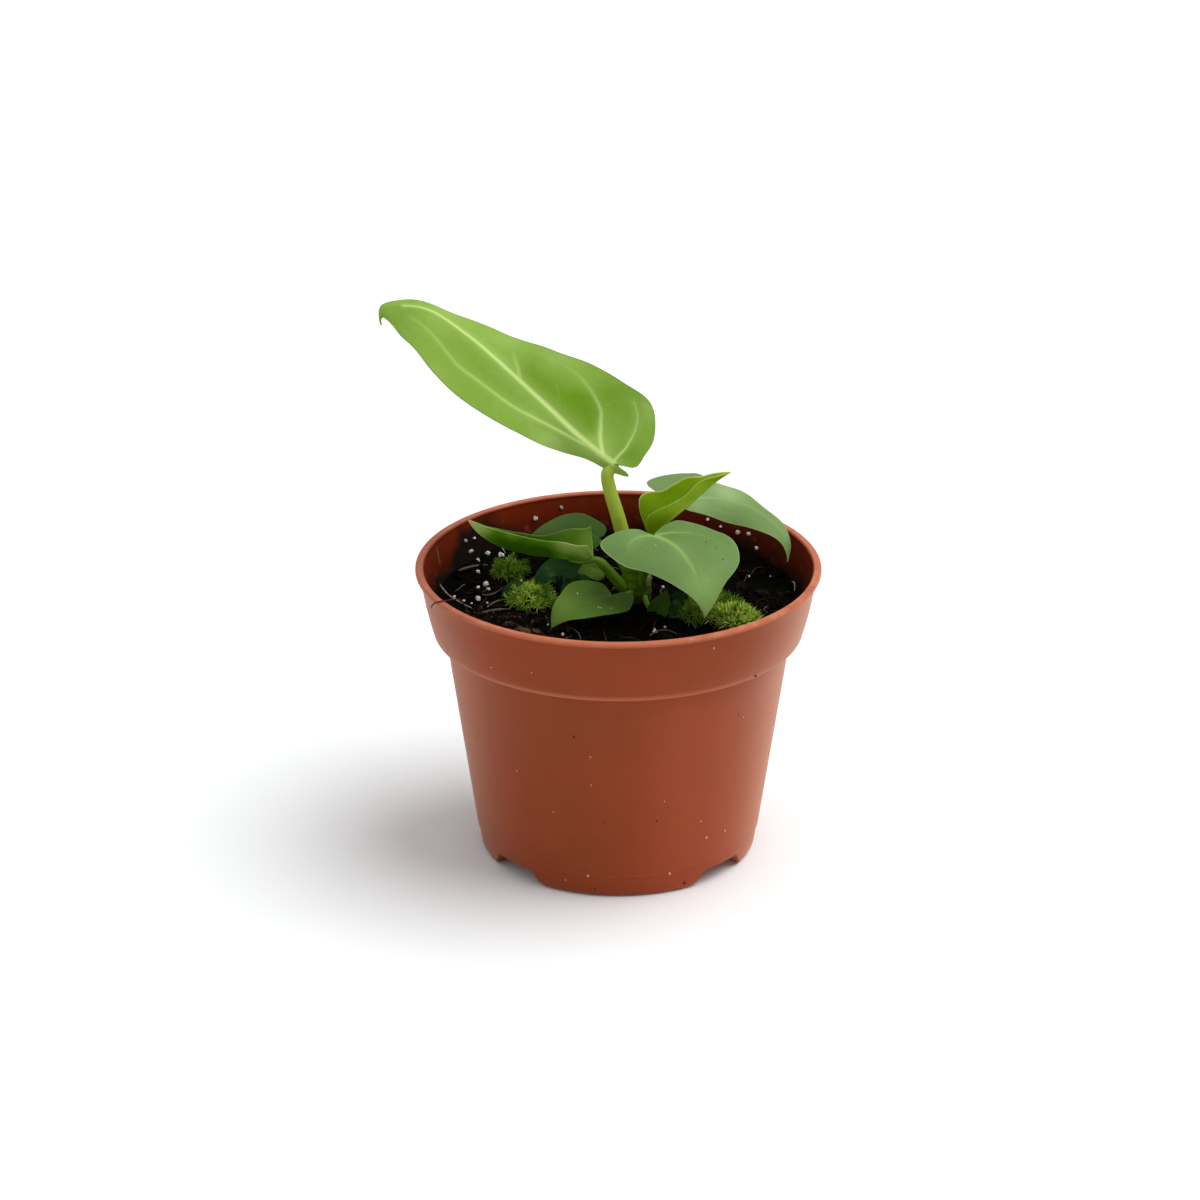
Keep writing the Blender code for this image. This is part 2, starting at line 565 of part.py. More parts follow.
def blade_points(leaf, rows, columns):
    """Rows of points from the stalk to the tip, each row from the left margin to the right one."""
    curve = smooth_route(leaf["midrib"], ROUTE_POINTS)
    reach = lengths(curve)
    length = reach[-1]
    slopes = np.gradient(curve, reach, axis=0)
    chord = unit(curve[-1] - curve[0])
    wave, waves = leaf.get("wave", (0, 1))
    halves = []
    for sign, half in ((-1, leaf["left"]), (1, leaf["right"])):
        edge = margin(half, length, rows + 1)
        row = np.linspace(0, 1, rows + 1)
        middle = length * np.clip((row - LOBE_SHARE) / (1 - LOBE_SHARE), 0, None)
        column = np.linspace(0, 1, columns + 1)[None, :]
        a = middle[:, None] * (1 - column) + edge[:, :1] * column
        b = np.maximum(edge[:, 1:], 0) * column
        share = a / length
        widest = max(half["half_widths"])
        lift = np.radians(along(half["lift"], share))
        curl = np.radians(along(half["curl"], share))
        curl = np.where(abs(curl) < MERGE, MERGE, curl)
        across = b / widest
        out = widest * (np.sin(lift + curl * across) - np.sin(lift)) / curl
        up = widest * (np.cos(lift) - np.cos(lift + curl * across)) / curl
        up = up + wave * across ** 2 * np.sin(2 * math.pi * waves * share + sign)
        held = np.clip(a, 0, length)
        centre = np.stack([np.interp(held, reach, curve[:, i]) for i in range(3)], axis=-1)
        slope = unit(np.stack([np.interp(held, reach, slopes[:, i]) for i in range(3)], axis=-1))
        heading = unit(SLOPE_SHARE * slope + (1 - SLOPE_SHARE) * chord)
        centre = centre + heading * np.minimum(a, 0)[..., None]
        face = along(leaf["faces"], share)
        normal = unit(face - (face * heading).sum(axis=-1)[..., None] * heading)
        sideways = np.cross(heading, normal)
        halves.append(centre + sign * sideways * out[..., None] + normal * up[..., None])
    return np.concatenate([halves[0][:, ::-1], halves[1][:, 1:]], axis=1)


def blade_sheet(name, leaf):
    """The blade as one open triangulated sheet."""
    rows, columns = leaf["grid"]
    points = blade_points(leaf, rows, columns)
    wide = 2 * columns + 1
    faces = []
    for i in range(rows):
        for j in range(wide - 1):
            a, b = i * wide + j, i * wide + j + 1
            c, d = b + wide, a + wide
            if j < columns:
                faces += [(a, b, d), (b, c, d)]
            else:
                faces += [(a, b, c), (a, c, d)]
    return mesh_object(name, points.reshape(-1, 3), faces)


def tube(name, route, radii, rings, sides):
    """Closed round bar along a route, its radius easing through the given radii."""
    curve = smooth_route(route, rings)
    slopes = unit(np.gradient(curve, axis=0))
    sideways = unit(np.cross(slopes, (0.31, -0.95, 0.02)))
    upright = np.cross(sideways, slopes)
    sizes = along(radii, np.linspace(0, 1, rings))
    points = []
    for centre, x_way, y_way, size in zip(curve, sideways, upright, sizes):
        for side in range(sides):
            turn = 2 * math.pi * side / sides
            points.append(centre + size * (math.cos(turn) * x_way + math.sin(turn) * y_way))
    faces = [tuple(range(sides)), tuple(range(rings * sides - 1, (rings - 1) * sides - 1, -1))]
    for ring in range(rings - 1):
        for side in range(sides):
            after = (side + 1) % sides
            low = ring * sides
            faces.append((low + side, low + sides + side, low + sides + after, low + after))
    return mesh_object(name, points, faces)


def crown_tube(name, extra):
    """The crown, made larger on every side by the extra."""
    route = [list(point) for point in CROWN_ROUTE]
    route[0][2] -= extra
    route[-1][2] += extra
    return tube(name, route, [radius + extra for radius in CROWN_RADII], CROWN_RINGS, CROWN_SIDES)


def build_crown():
    """Short thick stem base that stands in a plain hole in the soil."""
    finish(crown_tube("crown", 0), material("crown skin", CROWN))


def stalk_tube(leaf):
    """The stalk, which runs on as a rib along the first part of the blade."""
    route = list(leaf["stalk"]) + list(leaf["midrib"][:-2])
    stalk_steps = len(leaf["stalk"])
    base, top = leaf["stalk_radii"]
    radii = []
    for i in range(len(route)):
        if i <= stalk_steps:
            radii.append(base + (top - base) * i / stalk_steps)
        else:
            share = (i - stalk_steps) / (len(route) - 1 - stalk_steps)
            radii.append(top + (RIB_END_RADIUS - top) * (RIB_START_SHARE + (1 - RIB_START_SHARE) * share))
    return tube("stalk_tool", route, radii, round(1.5 * len(route)) + 2, STALK_SIDES)


def build_leaf(name, leaf):
    """Blade and stalk as one body, which stops just short of the crown."""
    item = blade_sheet(name, leaf)
    thicken = item.modifiers.new("thickness", "SOLIDIFY")
    thicken.thickness = BLADE_THICKNESS * MM
    thicken.offset = 0
    thicken.use_quality_normals = True
    apply_modifiers(item)
    combine(item, stalk_tube(leaf), "UNION", crossing=True)
    combine(item, crown_tube("crown_clearance", GAP), "DIFFERENCE")
    finish(item, material(name.replace("_", " ") + " surface", LEAF_COLOURS[name]))


def main():
    clear_scene()
    build_pot()
    build_soil()
    build_crown()
    build_moss()
    for name, leaf in LEAVES.items():
        build_leaf(name, leaf)


main()
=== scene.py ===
"""A young anthurium in its terracotta-coloured nursery pot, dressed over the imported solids.

Lengths are in millimetres until a piece is finished. The pot axis is X = Y = 0, the table is Z = 0,
-Y is the front and +X the right-hand side.
"""
import math
import random

import bmesh
import bpy
import numpy as np
from mathutils import Matrix, Vector, noise


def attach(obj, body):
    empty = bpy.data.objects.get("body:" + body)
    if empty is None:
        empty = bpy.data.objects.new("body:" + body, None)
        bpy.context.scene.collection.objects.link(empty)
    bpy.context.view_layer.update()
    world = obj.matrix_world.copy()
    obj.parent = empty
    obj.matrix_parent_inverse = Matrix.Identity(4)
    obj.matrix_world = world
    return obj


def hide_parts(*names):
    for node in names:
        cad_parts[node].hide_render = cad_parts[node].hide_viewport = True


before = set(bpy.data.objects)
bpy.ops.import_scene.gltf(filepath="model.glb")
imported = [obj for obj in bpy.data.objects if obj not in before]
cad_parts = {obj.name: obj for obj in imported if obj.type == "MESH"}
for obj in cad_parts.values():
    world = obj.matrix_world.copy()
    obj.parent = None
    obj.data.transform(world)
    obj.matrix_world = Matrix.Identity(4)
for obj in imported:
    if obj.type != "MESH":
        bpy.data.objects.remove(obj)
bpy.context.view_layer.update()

MM = 0.001
MERGE = 0.001
SEED = 7

# A direction that no route follows, from which the rings of a tube are turned
TUBE_SIDE = (0.31, -0.95, 0.02)

# Pot
POT_SIDES = 192
RIM_RADIUS = 60.0
POT_HEIGHT = 89.4
LIP_THICKNESS = 1.4
LIP_BOTTOM = POT_HEIGHT - LIP_THICKNESS
LIP_INNER_RADIUS = 57.5
BAND_TOP_RADIUS = 58.7
BAND_MIDDLE_RADIUS = 57.1
BAND_BOTTOM_RADIUS = 54.8
BAND_BOTTOM = 69.3
WALL_TOP_RADIUS = 51.4
WALL_LOW_RADIUS = 42.0
WALL_LOW = 5.0
BASE_RADIUS = 40.0
CREASE_HEIGHT = 7.4
CREASE_WIDTH = 0.2
CREASE_DEPTH = 0.3
SHELL = 1.2
LEDGE = BAND_BOTTOM + SHELL
FLOOR = 1.6
FLOOR_CORNER = 1.6
LIP_SOFTENING = 0.7
NOTCH_WIDTH_LOW = 22.0
NOTCH_WIDTH_HIGH = 14.0
NOTCH_HEIGHT = 5.2
NOTCH_INNER_RADIUS = 33.0
NOTCH_OUTER_RADIUS = 50.0
NOTCH_TURNS = (42, 138, 222, 318)
DRAIN_RADIUS = 2.5
DRAIN_FROM_AXIS = 36.5

# Rings of the foot, as distance out from its radius and height
FOOT_RINGS = ((-1.0, 0), (0.4, 0.5), (1.2, 1.8))
# Rings of the flared band, as radius and height over its bottom
BAND_RINGS = (
    (BAND_BOTTOM_RADIUS - 0.1, 0), (BAND_BOTTOM_RADIUS + 1.2, 4.7), (BAND_MIDDLE_RADIUS, 9.4),
    (BAND_MIDDLE_RADIUS + 0.9, 14.2),
)

# How far the cutters of the pot reach past it, and the middle height and the length of the drain cutter
CAVITY_CUTTER_ABOVE = 3
NOTCH_CUTTER_BELOW = 5
DRAIN_CUTTER_MIDDLE = 5
DRAIN_CUTTER_LENGTH = 8

# Soil
SOIL_LEVEL = 76.4
SOIL_MOUND = 2.4
SOIL_MOUND_SPREAD = 11.0
SOIL_BACK_RISE = 0.03
SOIL_LUMP = 0.45
SOIL_CELLS = 150
SOIL_BOTTOM = 6.0
SOIL_GAP = 0.4
SOIL_LOW_GAP = 0.6
SOIL_OVER_LEDGE = 0.3
CRUMBLE_SIZE = 3.2
CRUMBLE_HEIGHT = 0.75

# Loose grains of peat and bark: number, smallest and largest size, detail, and distance from the wall
CRUMBS = {"fine_crumbs": (3400, (0.6, 1.7), 1, 1.2), "clods": (260, (1.8, 4.2), 2, 2.7)}
CRUMB_KINDS = 5

# Where the photograph shows browner crumbs, at the front left, and blacker ones, at the back left
BROWN_LEFT_OF = -14
BROWN_FROM_TO = (-30, -2)
BLACK_LEFT_OF = -26
BLACK_BEHIND = -4

# Random fibres, how far out they start and how far out they may reach
FIBRES = 170
FIBRE_REACH = 49
FIBRE_LIMIT = 52

# Crown
CROWN_X, CROWN_Y = 5.0, 1.0
CROWN_ROUTE = ((5, 1, 60), (5, 1, 70), (5, 1, 80), (5, 1, 89.3))
CROWN_RADII = (2.6, 4.5, 4.9, 3.3)

# The dry sheath on the crown: the way it faces, its distance from the middle, foot, height and thickness
SHEATH_TURN = -38
SHEATH_RADIUS = 4.9
SHEATH_BOTTOM = 83.5
SHEATH_HEIGHT = 5.2
SHEATH_THICKNESS = 0.12

# Moss cushions: centre X, centre Y, radius, height over the soil level, shoots, paler tips share
MOSS = {
    "moss_left": (-26, 1.4, 6.8, 6.6, 120, 1.0),
    "moss_back": (-32.5, 20.5, 4.8, 5.4, 80, 0.75),
    "moss_right": (34.3, -13, 5.4, 5.0, 110, 1.0),
    "moss_middle": (23.5, -9.5, 6.8, 4.8, 110, 0.8),
    "moss_edge": (29.5, -3.5, 4.4, 5.6, 50, 0.6),
}
MOSS_WITHOUT_SOLID = ("moss_edge",)
# Screen colours of the moss: core, shoots and tips. The bright set is the same moss made paler, as painted
# light, for the clump that the light falls on
MOSS_COLOURS = {
    "bright": ((24, 36, 6), (92, 130, 24), (222, 240, 112)),
    "plain": ((20, 32, 6), (88, 124, 30), (186, 220, 82)),
}
GOLDEN_TURN = 2.39996

# A shoot of moss: its needles, their greatest length, how much shorter the top ones are and their radius,
# and the stem's radius at both ends. Each kind of shoot has a longer stem and holds its needles closer.
MOSS_NEEDLES = 13
NEEDLE_LENGTH = 2.5
NEEDLE_SHORTENING = 0.9
NEEDLE_RADIUS = 0.2
STEM_RADII = (0.17, 0.1)
SHORTEST_STEM = 1.8
STEM_STEP = 0.3
NEEDLE_SPREADS = (105, 78, 50)

# Perlite grains on the soil and on the inner wall: X, Y, height over the soil, size
PERLITE = (
    (-45.0, 33.0, 2.4, 2.2), (-42.4, 31.6, 0.4, 1.2), (-39.6, 37.0, 0.3, 1.9), (-35.6, 35.5, 0.4, 1.8),
    (-42.2, 22.0, 0.3, 1.4), (-39.6, 13.7, 0.4, 1.9), (-42.0, 12.8, 0.2, 1.3), (-41.7, 2.2, 0.6, 2.3),
    (-45.8, 0.8, 0.2, 0.9), (-24.6, -3.0, 1.8, 1.2), (-46.2, 32.3, 6.2, 1.3), (-43.6, 35.4, 5.8, 1.0),
    (-25.4, 50.0, 5.8, 1.5), (-17.5, 53.8, 7.6, 1.2), (36.3, 42.5, 4.6, 1.5), (39.6, 39.6, 5.0, 1.3),
    (41.9, 36.1, 2.2, 1.3), (27.3, 49.0, 6.2, 1.2), (31.2, 46.5, 5.2, 1.2), (-16.2, -22.5, 0.4, 1.3),
    (10.8, -20.4, 0.3, 1.4), (13.7, -17.9, 0.3, 1.0), (39.2, 17.8, 0.3, 0.9), (-20.6, -14.6, 0.5, 0.8),
)
MORE_PERLITE = 46
PERLITE_REACH = 50

# The strand that hangs over the rim at the front left, as X, Y and height over the soil
OVER_THE_RIM = (
    (-54.4, -26.0, 10.3), (-52.9, -28.9, 13.9), (-49.9, -29.3, 14.4), (-45.9, -25.2, 12.7),
    (-43.6, -22.8, 6.8), (-42.4, -21.5, 3.5),
)

# Strands that show: the route on the soil as X, Y and height over it, the radius, and the tone, from pale
# to dark
STRANDS = (
    (((-53.4, 12.6, 1.0), (-50.3, 4.0, 0.9), (-46.5, -1.6, 0.6), (-43, -3.4, 0.1)), 0.22, 0.0),
    (OVER_THE_RIM, 0.22, 0.6),
    (((-48.5, 21.6, 0.7), (-45.0, 23.2, 1.3), (-39.2, 27.1, 0.7)), 0.36, 0.3),
    (((-40.5, -6.2, 0.4), (-35.8, -4.6, 1.0), (-31.7, -3.6, 0.6)), 0.3, 0.35),
    (((-39.0, -2.2, 0.3), (-36.0, 0.6, 1.2), (-33.0, 2.4, 0.8)), 0.24, 0.25),
    (((51.9, 16.8, 0.3), (52.6, 12, 2.2), (52.4, 7.5, 0.8)), 0.2, 0.1),
    (((15.5, -13.6, 0.5), (19.6, -13.4, 1.6), (22.8, -18.2, 0.7)), 0.28, 0.25),
    (((-37.2, 41.0, 1.6), (-35.8, 39, 1.6), (-34.2, 36.6, 0.4)), 0.2, 0.1),
    (((-35.4, 41.6, 1.2), (-34, 40.4, 1.3), (-32.4, 38.8, 0.4)), 0.18, 0.15),
    (((-42.0, 9, 0.3), (-38.4, 3.4, 1.4), (-34.2, 9.6, 1.0)), 0.22, 0.4),
    (((-53.6, 17.0, 5.0), (-54.0, 17.6, 8.0), (-54.4, 18.2, 10.5)), 0.16, 0.2),
    (((9, -23, 0.4), (13, -20.5, 1.1), (17.5, -22, 0.5)), 0.22, 0.3),
)

# Screen colours of the pot. Some of them paint light and shade: painted sheen at the edges, painted
# highlights on the ledge and the rim, painted light and a painted shadow line in the warm colour, and
# painted shade inside, above the soil and on the left of the rim
POT_COLOURS = {
    "wall": (132, 59, 27), "patches": (146, 60, 30), "streaks": (150, 78, 46), "rim": (196, 112, 82),
    "rim wear": (208, 132, 100), "rim scratches": (178, 96, 66), "edges": (214, 146, 116),
    "inside": (80, 22, 2), "upper inside": (114, 36, 9), "ledge": (190, 108, 80), "painted rim shade": (152, 92, 74),
    "pale specks": (196, 142, 116), "dark specks": (84, 38, 24), "soil_line_shade": (13, 9, 5), "warm": (176, 84, 54),
    "crust": (120, 80, 52),
}

# Grains of dirt on the outside of the pot: X, Y, Z, size, and whether pale
POT_GRAINS = (
    (-36.5, -42.7, 74.8, 0.7, True), (-24.8, -50.9, 76.7, 0.6, True), (-8.0, -47.7, 48.7, 0.7, True),
    (-7.8, -46.4, 39.1, 0.6, True), (-12.8, -47.6, 55.0, 0.8, False), (-29.6, -36.5, 39.1, 0.7, True),
    (-18.8, -41.3, 28.0, 0.5, True), (-3.9, -45.0, 26.4, 0.6, False), (13.5, -44.1, 32.8, 0.5, True),
    (11.3, -43.7, 26.4, 0.7, False), (24.3, -37.5, 23.3, 0.6, True), (31.5, -30.4, 16.9, 0.8, True),
    (26.0, -35.2, 16.9, 0.9, True), (15.2, -39.6, 7.3, 1.0, True), (-8.8, -41.5, 7.4, 0.9, True),
    (-15.4, -39.0, 4.8, 0.5, True), (36.4, -33.3, 55.0, 0.6, True), (27.3, -51.4, 84.7, 0.8, True),
    (39.7, -37.9, 70.2, 1.0, False), (35.0, -35.0, 56.6, 0.5, False), (19.7, -36.4, 2.5, 1.0, False),
    (-6.8, -40.9, 2.8, 0.6, False), (-28, 38, 30, 0.6, True), (-42, 22, 44, 0.7, False),
    (40, 26, 35, 0.5, True), (6, 47, 52, 0.6, False),
)

# Grains on the small and the front leaf, listed in the same way
LEAF_GRAINS = (
    (-12.0, -13.2, 85.5, 0.55, True), (-5.8, -17.9, 83.1, 0.5, True), (-5.1, -17.9, 83.0, 0.4, True),
    (-2.1, -17.7, 82.7, 0.4, True), (10.9, -13.9, 101.1, 0.4, True), (28.6, -12.7, 99.8, 0.4, False),
    (30.5, -15.6, 97.4, 0.35, False), (25.6, -11.4, 101.1, 0.35, False),
)

# Each leaf: the stalk route and its radius at both ends, the midrib route from the stalk to the tip, the
# way its upper face looks, and for each half the lobe (how far back, how far out), the half widths at
# equal steps from the stalk to the tip, the angle at which the half leaves the midrib and its curl. A half
# without a lobe, a lift or a curl has none, lies level, or has the usual curl.
LEAVES = {
    "tall_leaf": {
        "stalk": ((4.6, 1, 88), (3.9, 0.9, 91), (2.3, 0.5, 95), (-0.3, 0, 105), (-2.6, -0.5, 113.5),
                  (-3.2, -1, 118.5)),
        "stalk_radii": (2.4, 1.8),
        "midrib": ((-1.5, -2, 122), (-11.5, 1, 129), (-22.5, 5, 138.5), (-33.5, 9, 148), (-44.5, 13, 156.5),
                   (-56, 16, 163.2), (-64.5, 18, 163.6), (-69.4, 18, 162.6), (-69.5, 15.9, 158.3)),
        "faces": ((0.25, -0.8, 0.6), (0.1, -0.8, 0.6), (0.4, -0.8, 0.35)),
        "left": {"lobe": (5.8, 0.9), "half_widths": (3, 4, 7, 10, 12.5, 14.5, 16, 16.5, 15.5, 13, 10, 4),
                 "lift": (-50, -5, 0, 0), "curl": (-20, 10, 10, 0)},
        "right": {"lobe": (6.5, 12.4), "corners": ((0.5, 0.1), (0.95, 0.22), (1, 0.53), (0.95, 1)),
                  "half_widths": (20.6, 20.8, 18.7, 14, 10.5, 8.2, 3.8, 3.3), "lift": (15, 5, -35, -45),
                  "curl": (10, 0, -15, -20)},
        "grid": (190, 42),
    },
    "young_leaf": {
        "stalk": ((6.5, 1.8, 85), (9, 3, 90)),
        "stalk_radii": (1.5, 1.0),
        "midrib": ((10, 3.5, 97), (13.5, 3.5, 100.5), (19.5, 4.5, 105.5), (24, 5.5, 109.5), (28.5, 7, 113),
                   (33, 8, 115.5)),
        "faces": ((-0.7, 0, 0.7), (-0.6, 0, 0.8)),
        "left": {"half_widths": (3, 10, 11, 8.5, 7.5, 7, 4, 2.5), "lift": (60, 50, 50, 25),
                 "curl": (20, 20, 20, 0)},
        "right": {"half_widths": (3, 6, 4, 3.5, 3.5, 2.5), "lift": (70, 65, 60, 30),
                  "curl": (20, 20, 20, 0)},
        "wave": (0.6, 3.0),
        "grid": (90, 22),
    },
    "back_leaf": {
        "stalk": ((6.2, 3, 82), (11, 11, 91), (15.5, 16, 98)),
        "stalk_radii": (1.4, 1.0),
        "midrib": ((20.5, 18, 102.5), (26, 20, 102), (35, 22, 100), (41.5, 21, 97.5), (47, 19, 93.5),
                   (50, 17, 89), (50.5, 15, 84)),
        "faces": ((0, -0.2, 0.97), (0.3, -0.2, 0.9), (0.8, -0.2, 0.5)),
        "left": {"lobe": (13, 3), "half_widths": (9.5, 7.5, 6.5, 4, 5), "lift": (25, 5, 0, 0),
                 "curl": (0, 0, 0, 0)},
        "right": {"lobe": (3, 1.5), "half_widths": (4, 6, 7, 5.5, 2.5), "lift": (-10, -20, -20, -20),
                  "curl": (-20, -20, -20, 0)},
        "grid": (110, 22),
    },
    "front_leaf": {
        "stalk": ((6.3, -0.8, 82), (8.5, -5, 93), (10, -8, 99)),
        "stalk_radii": (1.5, 1.0),
        "midrib": ((10.5, -9, 102), (14, -11, 101.5), (17.5, -15, 100.5), (21, -20, 97), (23.5, -24, 92.5),
                   (25, -26, 87.5), (25, -27, 83.5)),
        "faces": ((0.1, -0.25, 0.95), (0.2, -0.6, 0.75), (0.3, -0.8, 0.5)),
        "left": {"lobe": (1, 9), "half_widths": (12.5, 15.5, 17.5, 15.5, 6.5), "curl": (-15, -15, -15, 0)},
        "right": {"lobe": (8.5, 14.5), "half_widths": (15.5, 16, 12, 7.5, 3), "curl": (-20, -20, -20, 0)},
        "grid": (120, 34),
    },
    "folded_leaf": {
        "stalk": ((2.8, -0.4, 80.5), (0.6, -1.8, 83.6), (-2.2, -3.2, 87.6), (-5.2, -4.6, 91.8)),
        "stalk_radii": (2.0, 1.2),
        "midrib": ((-7.5, -5, 94), (-10.5, -4, 92.5), (-15, -2, 92), (-19.5, 1, 91.5), (-26, 4, 91),
                   (-35, 8, 92), (-41, 10, 95), (-44.5, 11, 99)),
        "faces": ((0, -0.1, 0.99), (0.1, -0.1, 0.95)),
        "left": {"half_widths": (5, 7, 6.5, 7.2, 7.5, 6), "lift": (60, 62, 60, 60),
                 "curl": (15, 15, 10, 0)},
        "right": {"half_widths": (8.8, 9, 6, 5.5, 4), "lift": (60, 60, 60, 25), "curl": (15, 15, 15, 0)},
        "grid": (110, 22),
    },
    "round_leaf": {
        "stalk": ((3.5, 2.5, 84), (-2, 9, 89.5)),
        "stalk_radii": (1.2, 0.9),
        "midrib": ((-6, 13, 92.5), (-9.5, 16, 93), (-14.5, 19, 92.8), (-19.5, 21, 92), (-23.5, 22, 90.6),
                   (-26.5, 22, 89)),
        "faces": ((0, -0.4, 0.9), (0, -0.5, 0.85)),
        "left": {"lobe": (2, 3), "half_widths": (6, 7, 7, 5, 3)},
        "right": {"lobe": (1, 2), "half_widths": (4.5, 6, 7, 6, 3), "lift": (5, 5, 0, 0)},
        "grid": (80, 20),
    },
    "small_leaf": {
        "stalk": ((4.6, -0.5, 81), (2, -6.5, 82.3)),
        "stalk_radii": (0.9, 0.8),
        "midrib": ((-2, -10, 83.5), (-7, -14, 83.5), (-12, -18, 83), (-16.5, -20.5, 81.5),
                   (-19.5, -22, 78)),
        "faces": ((0, -0.35, 0.9), (-0.1, -0.5, 0.8)),
        "left": {"lobe": (5, 4), "half_widths": (8.5, 8.5, 7, 5, 2.5), "lift": (10, 10, 5, 0)},
        "right": {"lobe": (0.5, 4), "half_widths": (5.5, 8.5, 9, 7, 4), "lift": (10, 10, 5, 0)},
        "grid": (80, 22),
    },
    "light_leaf": {
        "stalk": ((3.5, 1.5, 81.5), (-1.5, 0.5, 84.5)),
        "stalk_radii": (0.9, 0.8),
        "midrib": ((-4, 0, 87), (-7, 0, 88), (-10, 0, 88), (-12, 0, 86.5)),
        "faces": ((0, -0.8, 0.6), (0, -0.8, 0.6)),
        "left": {"half_widths": (2, 3.5, 3.5, 2.5, 1.5), "lift": (10, 10, 5, 0)},
        "right": {"half_widths": (1.5, 2.5, 2.5, 2, 1), "lift": (10, 10, 5, 0)},
        "grid": (40, 12),
    },
    "low_leaf": {
        "stalk": ((3.5, 2.5, 81.5), (-5, 7, 84)),
        "stalk_radii": (1.0, 0.8),
        "midrib": ((-9, 9, 84.5), (-14, 11, 84), (-20, 12, 82), (-25.5, 12.5, 79)),
        "faces": ((0, -0.6, 0.8), (0, -0.7, 0.7)),
        "left": {"lobe": (2, 3), "half_widths": (5, 6, 5.5, 4, 2)},
        "right": {"lobe": (2, 3), "half_widths": (5, 7, 7, 5, 3)},
        "grid": (60, 18),
    },
    "tiny_leaf": {
        "stalk": ((7.5, -1, 80.5), (9, -7, 78.4)),
        "stalk_radii": (0.9, 0.8),
        "midrib": ((10.4, -10.6, 77.4), (12.2, -10.8, 79.8), (13.6, -10.4, 82.6), (14.2, -9.6, 85.4)),
        "faces": ((-0.3, -0.9, 0.3), (-0.2, -0.9, 0.4)),
        "left": {"lobe": (0.8, 1), "half_widths": (2.4, 3.2, 3, 1.6), "lift": (15, 15, 10, 0)},
        "right": {"lobe": (0.8, 1), "half_widths": (2.4, 3.2, 2.8, 1.6), "lift": (15, 15, 10, 0)},
        "grid": (36, 12),
    },
}

# Sprouts low in the middle of the plant, dark with painted shade, written as the leaves are: stalk, midrib,
# facing and width
SPROUTS = (
    (((-18.5, 8.5, 77.5), (-17.8, 7.5, 80), (-18.4, 6.8, 82.8)), ((-18.6, 6.6, 83.6), (-20.5, 5.4, 84.4),
     (-22.6, 3.6, 83.6), (-24.6, 1.6, 81)), (0.1, -0.7, 0.7), 1.8),
    (((-17, 5, 77.5), (-16.6, 4.6, 80.5), (-17, 4.4, 83.6)), ((-17.2, 4.2, 84.4), (-15.4, 2.8, 85.4),
     (-13, 1.4, 85), (-11, 0.6, 83)), (0, -0.8, 0.6), 1.5),
    (((-24, 8, 77.2), (-26, 6, 79.5), (-28.4, 4.6, 81.4)), ((-29, 4.2, 81.6), (-31, 3.4, 81),
     (-33, 2.8, 79.6), (-34.6, 2.4, 77.8)), (-0.2, -0.7, 0.7), 1.5),
    (((-10, 5.5, 77.5), (-10.6, 4.6, 80), (-12, 3.4, 82)), ((-12.4, 3, 82.4), (-14, 1.6, 82.6),
     (-15.6, 0.2, 81.6), (-17, -1, 79.8)), (0.2, -0.8, 0.6), 1.7),
    (((13.5, -3, 77.5), (14.2, -5, 80), (15.4, -7, 82)), ((15.8, -7.4, 82.4), (17.6, -8.4, 82.6),
     (19.4, -9.4, 81.6), (20.8, -10.2, 79.8)), (-0.1, -0.8, 0.6), 1.5),
    (((17, -5, 77.4), (17.4, -7, 79.5), (17.6, -9, 81.2)), ((17.6, -9.4, 81.6), (16.8, -11.4, 81.2),
     (15.8, -13.2, 79.8), (15, -14.4, 77.8)), (0.2, -0.8, 0.6), 1.4),
)
SPROUT_WIDTHS = (0.5, 1, 1, 0.7)
SPROUT_LIFT = (12, 12, 8, 0)
SPROUT_CURL = (-12, -12, -8, 0)
SPROUT_STALK_RADII = (0.6, 0.45)
SPROUT_GRID = (30, 8)

# Shape that all blades share
EDGE_STEPS = 400
MIDRIB_STEPS = 200
LEVEL = (0, 0, 0, 0)
USUAL_CURL = (-10, -10, -10, 0)
LOBE_CORNERS = ((0.5, 0.1), (0.9, 0.45), (1, 1))
LOBE_SHARE = 0.22
SLOPE_SHARE = 0.45
RIB_SHARES = (0.75, 0.45, 0.2)
RIB_GRID = (60, 6)
RIB_SPACING = 0.07
BLADE_THICKNESS = (0.6, 0.3)
VEIN_GROOVE = 0.16
UNDER_RIDGE = 0.5
VEIN_STEPS = 36
GLOW_REACH = 2.6
UNDULATION = 0.35
UNDULATION_PITCH = 0.13
FULL_RELIEF_WIDTH = 3

